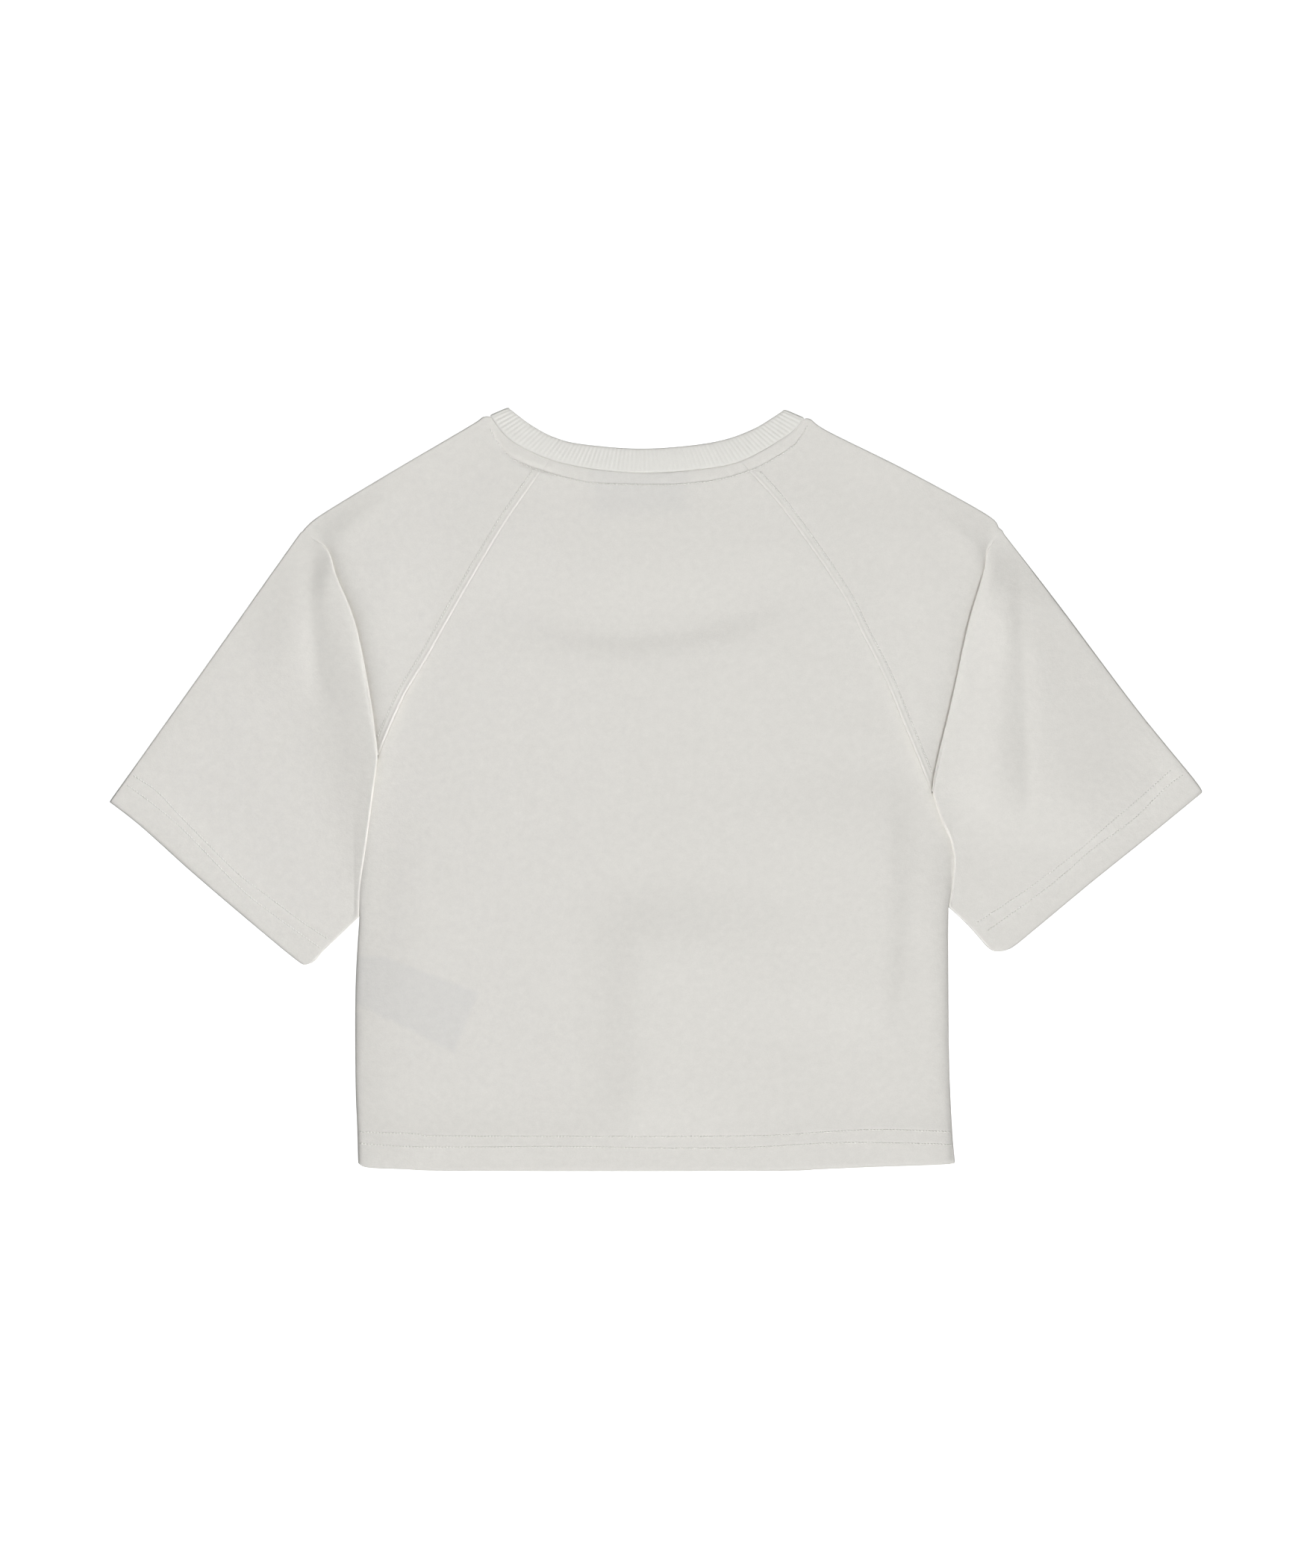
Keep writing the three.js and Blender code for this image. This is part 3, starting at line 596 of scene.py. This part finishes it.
def sleeve_cloth(name):
    """A sleeve: each row runs from its lower inner edge, round the fold over the
    arm as a half circle, to its upper inner edge. The upper side is two patches
    with the sewn-in fold between them."""
    half = HALVES[name]
    side = -1 if name == "left" else 1
    apart = side * SIDE_GAP
    shoulder, overarm = spline(half["shoulder"]), spline(half["overarm"])
    underarm, cuff = spline(half["underarm"]), spline(half["cuff"])
    beside = spline(half["beside_sleeve"])

    def neck_line(points):
        """The collar's seam from the sleeve's shoulder to its raglan seam, pulled
        over to the shoulder's first point by a fourth power."""
        line = moved_left(spline(points), SIDE_GAP)
        stop = RAGLAN_AT * PER_SPAN
        line = line[: stop + 1] if side < 0 else line[::-1][: stop + 1]
        near = (1 - np.linspace(0, 1, len(line))[:, None]) ** 4
        return line + near * (np.array(half["shoulder"][0]) - line[0])

    # shares of the rows: the raglan seam from the collar, then beside the body,
    # the underarm and the cuff, near which they are set close
    raglan_rows = finer((13, 0.8), (150, 3), (240, 2.4), (250, 1)) / 250
    set_close = 30
    cuff_rows = finer((4, 0.7), (13, 1.8), (set_close, 0.8))[::-1]
    beside_rows = np.linspace(0, 1, 56)
    arm_span, under_span = lengths(overarm)[-1], lengths(underarm)[-1]
    plain_rows = 10
    under_rows = np.concatenate([np.linspace(0, 1 - set_close / under_span, plain_rows),
                                 1 - cuff_rows[1:] / under_span])
    count = len(beside_rows) + plain_rows - 1
    arm_rows = np.concatenate([np.linspace(0, 1 - set_close / arm_span, count),
                               1 - cuff_rows[1:] / arm_span])

    def inside(raglan):
        """The inner edge: the raglan seam, then the line beside the body."""
        seam = np.vstack([along(spline(half[raglan]), raglan_rows),
                          along(beside, beside_rows)[1:]])
        return moved_left(seam, apart)

    back_inside, front_inside = inside("raglan"), inside("front_raglan")
    armpit = len(raglan_rows) - 1
    down_under = along(underarm, under_rows)[1:]
    over_shoulder = along(shoulder, raglan_rows)
    pleat = np.array(half["pleat"])
    pleat[-1] = back_inside[armpit]
    pleat = spline(pleat)

    # columns: shares of each row from the fold over the arm to the inner edge
    inner = finer((4, 0.55), (12, 0.75), (24, 1.5))[::-1]

    def columns(starts, ends):
        """Shares from 1.2 in from the fold, even at first, then the inner ones."""
        width = np.linalg.norm(ends - starts, axis=-1)[:, None]
        fine = 1 - np.minimum(inner, inner * width / 50) / width
        reach = fine[:, :1]
        start = 1.2 / width
        return np.concatenate([start + (reach - start) * np.linspace(0, 1, 52)[:-1], fine], 1)

    upper_shares = columns(over_shoulder, back_inside[: armpit + 1])
    upper = patch(neck_line(COLLAR["back_seam"]), pleat, over_shoulder,
                  back_inside[: armpit + 1], upper_shares)
    # the fold, and the line where it ends on the arm
    steps = 22
    face, back = fold_rows(pleat, side, upper_shares[-1], steps)
    whole_fold, _ = fold_rows(pleat, side, np.linspace(0, 1, 301), steps)
    fold_starts, fold_end = whole_fold[1:, 0, :2], whole_fold[-1, :, :2]
    clear = np.linalg.norm(fold_end[0] - overarm[0]) / arm_span
    over_arm = along(overarm, clear + arm_rows * (1 - clear))
    over_arm[0] = fold_end[0]
    lower_ends = np.vstack([fold_end[-1:], back_inside[armpit + 1:], down_under])
    lower_shares = columns(over_arm, lower_ends)
    lower_shares[0] = upper_shares[-1]
    blend = smooth(np.arange(len(lower_shares)) / 30)[:, None]
    lower_shares = lower_shares[:1] * (1 - blend) + lower_shares * blend
    lower = patch(fold_end, cuff, over_arm, lower_ends, lower_shares)

    # the shoulder's part, with the neck and raglan sewing
    under = CLOTH + GAP + np.maximum(0, lift(upper) + soft_folds(upper, "back"))
    relief = sewing(upper, (name,), on_sleeve=True)
    relief += ripple(upper)
    relief += shoulder_swell(upper, pleat, upper_shares)
    top = np.maximum(under + CLOTH + relief, under + 0.4)
    faces = [at_height(upper, top)]
    backs = [at_height(upper, under)]

    # the fold's first rows take over the relief before it
    fade = (1 - np.linspace(0, 1, steps) ** 0.5)[:, None]
    face[..., 2] += (faces[0][-1, :, 2] - face[0, :, 2])[None] * fade
    after = lower[1:]
    cuff_distance = distance_from(after, cuff)
    extra = TURN_UP * turned_up(cuff_distance, CUFF_DEPTH, SOFT_STEP)
    low = CLOTH + GAP + extra
    away = np.linalg.norm(after - along(fold_end, lower_shares[1:]), axis=-1)
    high = lift(after) + pleat_rise(lower_shares[1:]) * (1 - smooth(away / PLEAT_REACH))
    high += soft_folds(after, name) * smooth(cuff_distance / FADE) * smooth(away / 6)
    high = np.maximum(0, high)
    width = np.linalg.norm(lower_ends - over_arm, axis=-1)[1:, None]
    inward = (1 - lower_shares[1:]) * width
    round_side = rolled(inward, LIP)
    round_cuff = 0.35 + 0.65 * rolled(cuff_distance, EDGE_ROLL)
    wall = (CLOTH + extra) * np.minimum(0.1 + 0.9 * round_side, round_cuff)
    relief = ripple(after)
    for row in ("upper", "lower"):
        relief += groove(after, SEWN[f"cuff_{name}_{row}"], 0.8, 0.13)
    relief *= round_side * smooth(cuff_distance / 6) * smooth(away / 6)
    under = low + high * rolled(np.maximum(0, inward - CLOTH), LIP - CLOTH)
    top = np.maximum(low + high * round_side + wall + relief, under + 0.1)
    faces += [face[1:], at_height(after, top)]
    backs += [back[1:], at_height(after, under)]
    face, back = np.concatenate(faces), np.concatenate(backs)

    # the lower side, plain, and the half circle between both sides
    starts = np.vstack([over_shoulder, fold_starts, over_arm[1:]])
    share = np.linspace(0, 1, steps + 1)[1:-1, None]
    step_on = front_inside[armpit] * (1 - share) + front_inside[armpit + 1] * share
    ends = np.vstack([front_inside[: armpit + 1], step_on, front_inside[armpit + 1:],
                      down_under])
    front_shares = np.concatenate([np.linspace(0.03, 0.97, 14), [0.985, 0.993, 1]])[::-1]
    front = patch(neck_line(COLLAR["front_seam"]), cuff, starts, ends, front_shares)
    row_extra = TURN_UP * turned_up(distance_from(front, cuff), CUFF_DEPTH)
    front_inward = np.linalg.norm(front - front[:, :1], axis=-1)
    is_arm = (np.arange(len(front)) > armpit)[:, None]
    up = 0.6 * CLOTH * (1 - np.where(is_arm, rolled(front_inward), 1))
    low_face = at_height(front, up)
    low_back = at_height(front, CLOTH + row_extra)

    bend_face, bend_back = arm_fold(low_face, low_back, face, back, starts)
    face = np.concatenate([low_face, bend_face, face], 1)
    back = np.concatenate([low_back, bend_back, back], 1)
    return wall_piece(f"sleeve_cloth_{name}", face, back)


def arm_fold(low_face, low_back, face, back, starts):
    """The bend between a sleeve's two layers: half ellipses that reach the
    outline, from the lower layer's last column to the upper one's first."""
    turns = np.radians(np.linspace(-90, 90, 12)[1:-1])[None, :, None]
    bends = []
    for lower, upper, inset in ((low_face, face, 0), (low_back, back, CLOTH)):
        a, b = lower[:, -1:], upper[:, :1]
        middle, half_height = (a + b) / 2, (b - a) / 2
        out = starts[:, None] - middle[..., :2]
        reach = np.linalg.norm(out, axis=-1, keepdims=True)
        out = out / reach * np.maximum(reach - inset, 0.1)
        out = np.concatenate([out, np.zeros_like(out[..., :1])], -1)
        bends.append(middle + half_height * np.sin(turns) + out * np.cos(turns))
    return bends


# ---------------------------------------------------------------- collar


def collar_rib():
    """The collar: a ring of knitted rib folded double, across the back, over at
    one shoulder, across the front and over at the other. Its section is a flat
    loop, and along it each rib is one wave of a cosine, raised on the face."""
    lines = {name: spline(points) for name, points in COLLAR.items()}
    # shares of its width and of half its wall, and of the ribs' height, round it
    section = np.array([
        (-0.15, -0.95, 0), (-0.15, -0.78, 0), (0, -0.72, 0), (0, 0.2, 0),
        (0.015, 0.62, 0), (0.045, 0.86, 0.5), (0.1, 0.97, 1), (0.2, 1, 1), (0.3, 1, 1),
        (0.4, 1, 1), (0.5, 1, 1), (0.6, 1, 1), (0.7, 1, 1), (0.79, 0.98, 1),
        (0.86, 0.92, 1), (0.92, 0.78, 0.95), (0.965, 0.52, 0.8), (0.99, 0.22, 0.6),
        (1, -0.12, 0.45), (0.985, -0.5, 0.25), (0.94, -0.85, 0), (0.8, -1, 0),
        (0.5, -1, 0), (0.2, -1, 0),
    ])
    across, through, raised = section.T[..., None]

    def stretch(seam, edge, count, waves, middle_of, normal_up):
        """The section carried from one shoulder to the other."""
        share = np.linspace(0, 1, count)
        start, end = along(lines[seam], share), along(lines[edge], share)
        width = np.linalg.norm(end - start, axis=-1, keepdims=True)
        start = start + (end - start) * (SIDE_GAP / width)
        # round ribs that swell a little, as knitted ones do
        phase = waves * share * 2 * np.pi
        rib = 0.5 - 0.5 * np.cos(phase)
        swell = 1 + 0.1 * np.sin(phase / 7.3) + 0.06 * np.sin(phase / 3.1 + 1)
        out = through * RIB / 2 + raised * WALE_RISE * (rib * swell - 0.5)
        plan = start[None] + (end - start)[None] * across[..., None]
        height = middle_of(start) + normal_up * out
        return at_height(plan, height).transpose(1, 0, 2)

    def turn(seam_point, edge_point, inward_side, from_angle, to_angle):
        """The section turned over a shoulder, round a half circle."""
        seam_point, edge_point = np.array(seam_point), np.array(edge_point)
        radius = (middle_height(seam_point) - RIB / 2) / 2
        width = np.linalg.norm(edge_point - seam_point)
        direction = (edge_point - seam_point) / width
        inward = inward_side * np.array([direction[1], -direction[0]])
        angle = np.linspace(from_angle, to_angle, 14)[1:-1, None]
        out = through.T * RIB / 2 + radius
        reach = GAP / 2 + across.T * (width - GAP / 2)
        beyond = (np.sin(angle) * out)[..., None]
        plan = seam_point + direction * reach[..., None] - inward * beyond
        height = RIB / 2 + radius + np.cos(angle) * out
        return at_height(plan, height)

    def on_table(start):
        """Height of the middle of the rib where it lies on the table."""
        return np.full(len(start), RIB / 2)

    per_wale, plain_rows = 10, 261
    ends = [(COLLAR["back_seam"][i], COLLAR["back_edge"][i]) for i in (0, -1)]
    ring = np.concatenate([
        stretch("back_seam", "back_edge", WALES * per_wale + 1, WALES, middle_height, 1),
        turn(*ends[1], -1, 0, np.pi),
        stretch("front_seam", "front_edge", plain_rows, 0, on_table, -1)[::-1],
        turn(*ends[0], 1, np.pi, 0),
    ])
    count, around = ring.shape[:2]
    i, j = np.meshgrid(np.arange(count), np.arange(around), indexing="ij")
    ahead, other = (i + 1) % count, (j + 1) % around
    faces = np.stack([i * around + j, i * around + other, ahead * around + other,
                      ahead * around + j], -1).reshape(-1, 4)
    points = ring.reshape(-1, 3)
    return new_piece("collar_rib", points, facing_out(points, faces))


# --------------------------------------------------------------- stitches


def height_on_cloth(trees, xy):
    """Height of the uppermost cloth at each point, met from well above it."""
    heights = []
    for x, y in xy * MM:
        above, down = Vector((x, y, 50 * MM)), Vector((0, 0, -1))
        hits = [tree.ray_cast(above, down)[0] for tree in trees]
        heights.append(max(hit.z for hit in hits if hit is not None) / MM)
    return np.array(heights)


def stitches(name, trees, lines):
    """Rows of stitches: each is a short thread that dips into the cloth at both
    ends, a half wave along the line and an ellipse across it."""
    starts, directions = [], []
    for line in lines:
        count = int(lengths(line)[-1] / STITCH)
        marks = along(line, (np.arange(count + 1) + 0.1) / (count + 0.2))
        starts.append(marks[:-1])
        directions.append(np.diff(marks, axis=0))
    start, span = np.concatenate(starts), np.concatenate(directions)
    middle = start + span / 2
    height = height_on_cloth(trees, middle)
    rings, around = 7, 6
    t = np.linspace(-1, 1, rings)
    angle = np.linspace(0, 2 * np.pi, around, endpoint=False)
    side = np.stack([-span[:, 1], span[:, 0]], -1)
    side /= np.linalg.norm(side, axis=-1, keepdims=True)
    thick = THREAD / 2 * np.sqrt(1 - (0.9 * t) ** 2)
    rise = 0.16 * (1 - t**2) - 0.25 * t**6
    plan = middle[:, None] + span[:, None] * t[None, :, None] * 0.43
    plan = plan[:, :, None] + side[:, None, None] * (
        thick[:, None] * np.cos(angle))[None, ..., None] * 1.15
    z = height[:, None, None] + rise[None, :, None] + thick[:, None] * np.sin(angle)
    points = at_height(plan, z)
    count = len(start)
    n, i, j = np.meshgrid(np.arange(count), np.arange(rings - 1), np.arange(around),
                          indexing="ij")
    ring, other = (n * rings + i) * around, (j + 1) % around
    faces = np.stack([ring + j, ring + around + j, ring + around + other, ring + other], -1)
    faces = faces.reshape(-1, 4)
    last = (rings - 1) * around
    caps = np.array([(0, 1, 2, 3), (0, 3, 4, 5), (last, last + 3, last + 2, last + 1),
                     (last, last + 5, last + 4, last + 3)])
    each = np.arange(count)[:, None] * rings * around
    ends = (caps[:, None] + each).reshape(-1, 4)
    return new_piece(name, points.reshape(-1, 3), np.concatenate([faces, ends])[:, ::-1])


# -------------------------------------------------------------- materials

FLEECE_COLOUR = "ebe9e4"
RIB_COLOUR = "f0efea"
THREAD_COLOUR = "f3f2ed"
BACKDROP_COLOUR = "f4f4f2"
TUFT = 0.9  # of the nap, drawn far coarser than its fibres, so that it shows
CLOUD = 5  # size of the faint uneven patches in brushed cloth
LABEL_TINT = (0.55, 0.6, 0.72)  # share of red, green and blue over a full label


def linear(hex_colour):
    """A display colour as linear light, by the usual two-part curve."""
    parts = np.array([int(hex_colour[i:i + 2], 16) for i in (0, 2, 4)]) / 255
    low, high = parts / 12.92, ((parts + 0.055) / 1.055) ** 2.4
    return (*np.where(parts <= 0.04045, low, high), 1.0)


def new_material(name):
    """A material with no nodes yet."""
    material = bpy.data.materials.new(name)
    material.use_nodes = True
    material.node_tree.nodes.clear()
    return material


def add(tree, kind, *inputs, **properties):
    """Adds a node with its properties, and gives its inputs values or links."""
    node = tree.nodes.new(kind)
    for key, value in properties.items():
        setattr(node, key, value)
    for key, value in (item for group in inputs for item in group.items()):
        if isinstance(value, bpy.types.NodeSocket):
            tree.links.new(value, node.inputs[key])
        else:
            node.inputs[key].default_value = value
    return node


def label_depth(tree, place, corners):
    """How far inside a label's outline a place is: the least distance to its
    sides."""
    corners = np.array(corners, float) * MM
    turn = np.sum(corners[:, 0] * np.roll(corners[:, 1], -1))
    turn -= np.sum(corners[:, 1] * np.roll(corners[:, 0], -1))
    depth = None
    for a, b in zip(corners, np.roll(corners, -1, axis=0)):
        side = (b - a) / np.linalg.norm(b - a) * np.sign(turn)
        square = (-side[1], side[0], 0)
        dot = add(tree, "ShaderNodeVectorMath", {0: place}, {1: square},
                  operation="DOT_PRODUCT").outputs["Value"]
        away = add(tree, "ShaderNodeMath", {0: dot, 1: float(a @ np.array(square[:2]))},
                   operation="SUBTRACT").outputs[0]
        depth = away if depth is None else add(
            tree, "ShaderNodeMath", {0: depth, 1: away}, operation="MINIMUM").outputs[0]
    return depth


def cloth_material(name, colour, grain, labels=()):
    """Ivory cotton knit: matt, with a soft sheen from its brushed nap, a faint
    heather of lighter and darker fibres as strong as its grain. A label behind it
    shows as a cooler tone with a lighter line along its border."""
    material = new_material(name)
    tree = material.node_tree
    place = add(tree, "ShaderNodeTexCoord").outputs["Object"]
    fibres = add(tree, "ShaderNodeTexNoise", {"Vector": place},
                 {"Scale": 1 / (TUFT * MM), "Detail": 3, "Roughness": 0.65}).outputs["Fac"]
    clouds = add(tree, "ShaderNodeTexNoise", {"Vector": place},
                 {"Scale": 1 / (CLOUD * MM), "Detail": 3, "Roughness": 0.6}).outputs["Fac"]
    cloudy = add(tree, "ShaderNodeMath", {0: clouds, 1: 0.8 * grain, 2: 1 - 0.9 * grain},
                 operation="MULTIPLY_ADD").outputs[0]
    value = add(tree, "ShaderNodeMath", {0: fibres, 1: grain, 2: cloudy},
                operation="MULTIPLY_ADD").outputs[0]
    shade = add(tree, "ShaderNodeVectorMath", {0: linear(colour)[:3], 3: value},
                operation="SCALE").outputs[0]
    over_label = (*(np.array(linear(colour)[:3]) * LABEL_TINT), 1)
    for label in labels:
        depth, soft = label_depth(tree, place, label["corners"]), label["soft"] * MM
        within = add(tree, "ShaderNodeMapRange", {"Value": depth},
                     {"From Min": -soft, "From Max": soft, "To Max": label["tone"]},
                     interpolation_type="SMOOTHSTEP").outputs["Result"]
        away = add(tree, "ShaderNodeMath", {0: depth}, operation="ABSOLUTE").outputs[0]
        line = add(tree, "ShaderNodeMapRange", {"Value": away},
                   {"From Max": 3.5 * MM, "To Min": label["border"], "To Max": 0.0},
                   ).outputs["Result"]
        cool = add(tree, "ShaderNodeMath", {0: within, 1: line},
                   operation="SUBTRACT").outputs[0]
        shade = add(tree, "ShaderNodeMix", {0: cool, 6: shade, 7: over_label},
                    data_type="RGBA", clamp_factor=False).outputs[2]
    height = add(tree, "ShaderNodeMath", {0: clouds, 1: 1.6, 2: fibres},
                 operation="MULTIPLY_ADD").outputs[0]
    bump = add(tree, "ShaderNodeBump", {"Height": height},
               {"Strength": 0.5, "Distance": 0.25 * MM})
    surface = add(tree, "ShaderNodeBsdfPrincipled",
                  {"Base Color": shade, "Normal": bump.outputs[0]},
                  {"Roughness": 0.95, "Specular IOR Level": 0.12, "Sheen Weight": 0.1,
                   "Sheen Roughness": 0.6, "Sheen Tint": (1, 0.98, 0.94, 1)})
    add(tree, "ShaderNodeOutputMaterial", {"Surface": surface.outputs[0]})
    return material


def plain_material(name, values):
    """A material that is the same all over, from the values of its surface."""
    material = new_material(name)
    surface = add(material.node_tree, "ShaderNodeBsdfPrincipled", values)
    add(material.node_tree, "ShaderNodeOutputMaterial", {"Surface": surface.outputs[0]})
    return material


# ---------------------------------------------------------------- pieces

fleece = cloth_material("ivory cotton fleece", FLEECE_COLOUR, grain=0.13)
back_fleece = cloth_material("ivory cotton fleece over the labels", FLEECE_COLOUR,
                             grain=0.13, labels=LABELS.values())
ribbed = cloth_material("ivory ribbed cotton knit", RIB_COLOUR, grain=0.08)
# spun polyester in the same ivory, a little smoother than the cloth
thread = plain_material("ivory sewing thread", {
    "Base Color": linear(THREAD_COLOUR), "Roughness": 0.7, "Specular IOR Level": 0.25})

cloths = {
    "front_panel": front_cloth(),
    "back_panel": back_cloth(),
    "sleeve_left": sleeve_cloth("left"),
    "sleeve_right": sleeve_cloth("right"),
    "neck_rib": collar_rib(),
}
for node, piece in cloths.items():
    is_rib = node == "neck_rib"
    material = ribbed if is_rib else back_fleece if node == "back_panel" else fleece
    piece.data.materials.append(material)
    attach(piece, "root")
    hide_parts(node)


def tree_of(piece):
    """A search tree over a piece's faces, for finding where it is."""
    shape = bmesh.new()
    shape.from_mesh(piece.data)
    tree = BVHTree.FromBMesh(shape)
    shape.free()
    return tree


trees = {node: tree_of(piece) for node, piece in cloths.items() if node != "front_panel"}


def sewn(name, nodes, keys):
    """Rows of stitching, as one piece on the cloth of the named nodes."""
    rows = [along(SEWN[key], np.linspace(0, 1, 400)) for key in keys]
    piece = stitches(name, [trees[node] for node in nodes], rows)
    piece.data.materials.append(thread)
    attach(piece, "root")
    return piece


hem_stitches = sewn("hem_stitches", ["back_panel"], ["hem_upper", "hem_lower"])
neck_stitches = sewn("neck_stitches", ["back_panel", "sleeve_left", "sleeve_right"], ["neck"])
sleeve_stitches = {
    side: sewn(f"sleeve_stitches_{side}", [f"sleeve_{side}"],
               [f"cuff_{side}_upper", f"cuff_{side}_lower", f"raglan_{side}"])
    for side in ("left", "right")
}

# ------------------------------------------------------- floor and light

FLOOR_SIZE = 12000
FLOOR_LEVEL = -0.05
square = np.array([(-1, -1), (1, -1), (1, 1), (-1, 1)]) * FLOOR_SIZE / 2
floor = new_piece("floor", at_height(square, np.full(4, FLOOR_LEVEL)), [(0, 1, 2, 3)],
                  smooth_faces=False)
# a seamless pale sheet, lit so brightly that it shows no shadow
floor.data.materials.append(plain_material("bright white backdrop", {
    "Base Color": linear(BACKDROP_COLOUR), "Roughness": 0.9, "Specular IOR Level": 0.0,
    "Emission Color": (1, 1, 1, 1), "Emission Strength": 0.9}))
floor.visible_diffuse = False


def softbox(name, place, aim, size, power, spread):
    """A large light, size long and high, aimed at a point. A grid on it narrows
    its beam."""
    data = bpy.data.lights.new(name, "AREA")
    data.shape, data.size, data.size_y = "RECTANGLE", *size
    data.energy, data.spread = power, np.radians(spread)
    light = bpy.data.objects.new(name, data)
    light.location = place
    light.rotation_euler = (Vector(aim) - Vector(place)).to_track_quat("-Z", "Y").to_euler()
    light.visible_camera = False
    bpy.context.scene.collection.objects.link(light)


softbox("front softbox", (1.2, -3.5, 3.6), (-0.1, 0.7, 0), (1.6, 1.6), 7.1, 40)
# each of the two gridded ones lights the far sleeve across the body
softbox("right strip softbox", (1.7, -0.04, 1.5), (-0.75, -0.04, 0), (3.2, 0.4), 6.3, 28)
softbox("left strip softbox", (-1.7, -0.04, 1.5), (0.75, -0.04, 0), (3.2, 0.4), 6, 28)

world = bpy.data.worlds.new("soft studio")
bpy.context.scene.world = world
world.use_nodes = True
sky = world.node_tree
sky.nodes.clear()
direction = add(sky, "ShaderNodeTexCoord").outputs["Generated"]
upward = add(sky, "ShaderNodeSeparateXYZ", {0: direction}).outputs["Z"]
glow = add(sky, "ShaderNodeMapRange", {"Value": upward},
           {"From Min": 0.0, "From Max": 0.8, "To Min": 0.12, "To Max": 0.2})
air = add(sky, "ShaderNodeBackground", {"Strength": glow.outputs[0]},
          {"Color": (1, 0.995, 0.985, 1)})
add(sky, "ShaderNodeOutputWorld", {"Surface": air.outputs[0]})
# colours are shown as they are, with no film-like curve
bpy.context.scene.view_settings.view_transform = "Standard"

# ---------------------------------------------------------------- camera

view = bpy.data.cameras.new("straight down")
view.lens, view.sensor_width = 85, 36
view.clip_start, view.clip_end = 0.1, 20
camera = bpy.data.objects.new("straight down", view)
camera.location = (-0.00495, 0.0036, 2.7305)
bpy.context.scene.collection.objects.link(camera)
bpy.context.scene.camera = camera
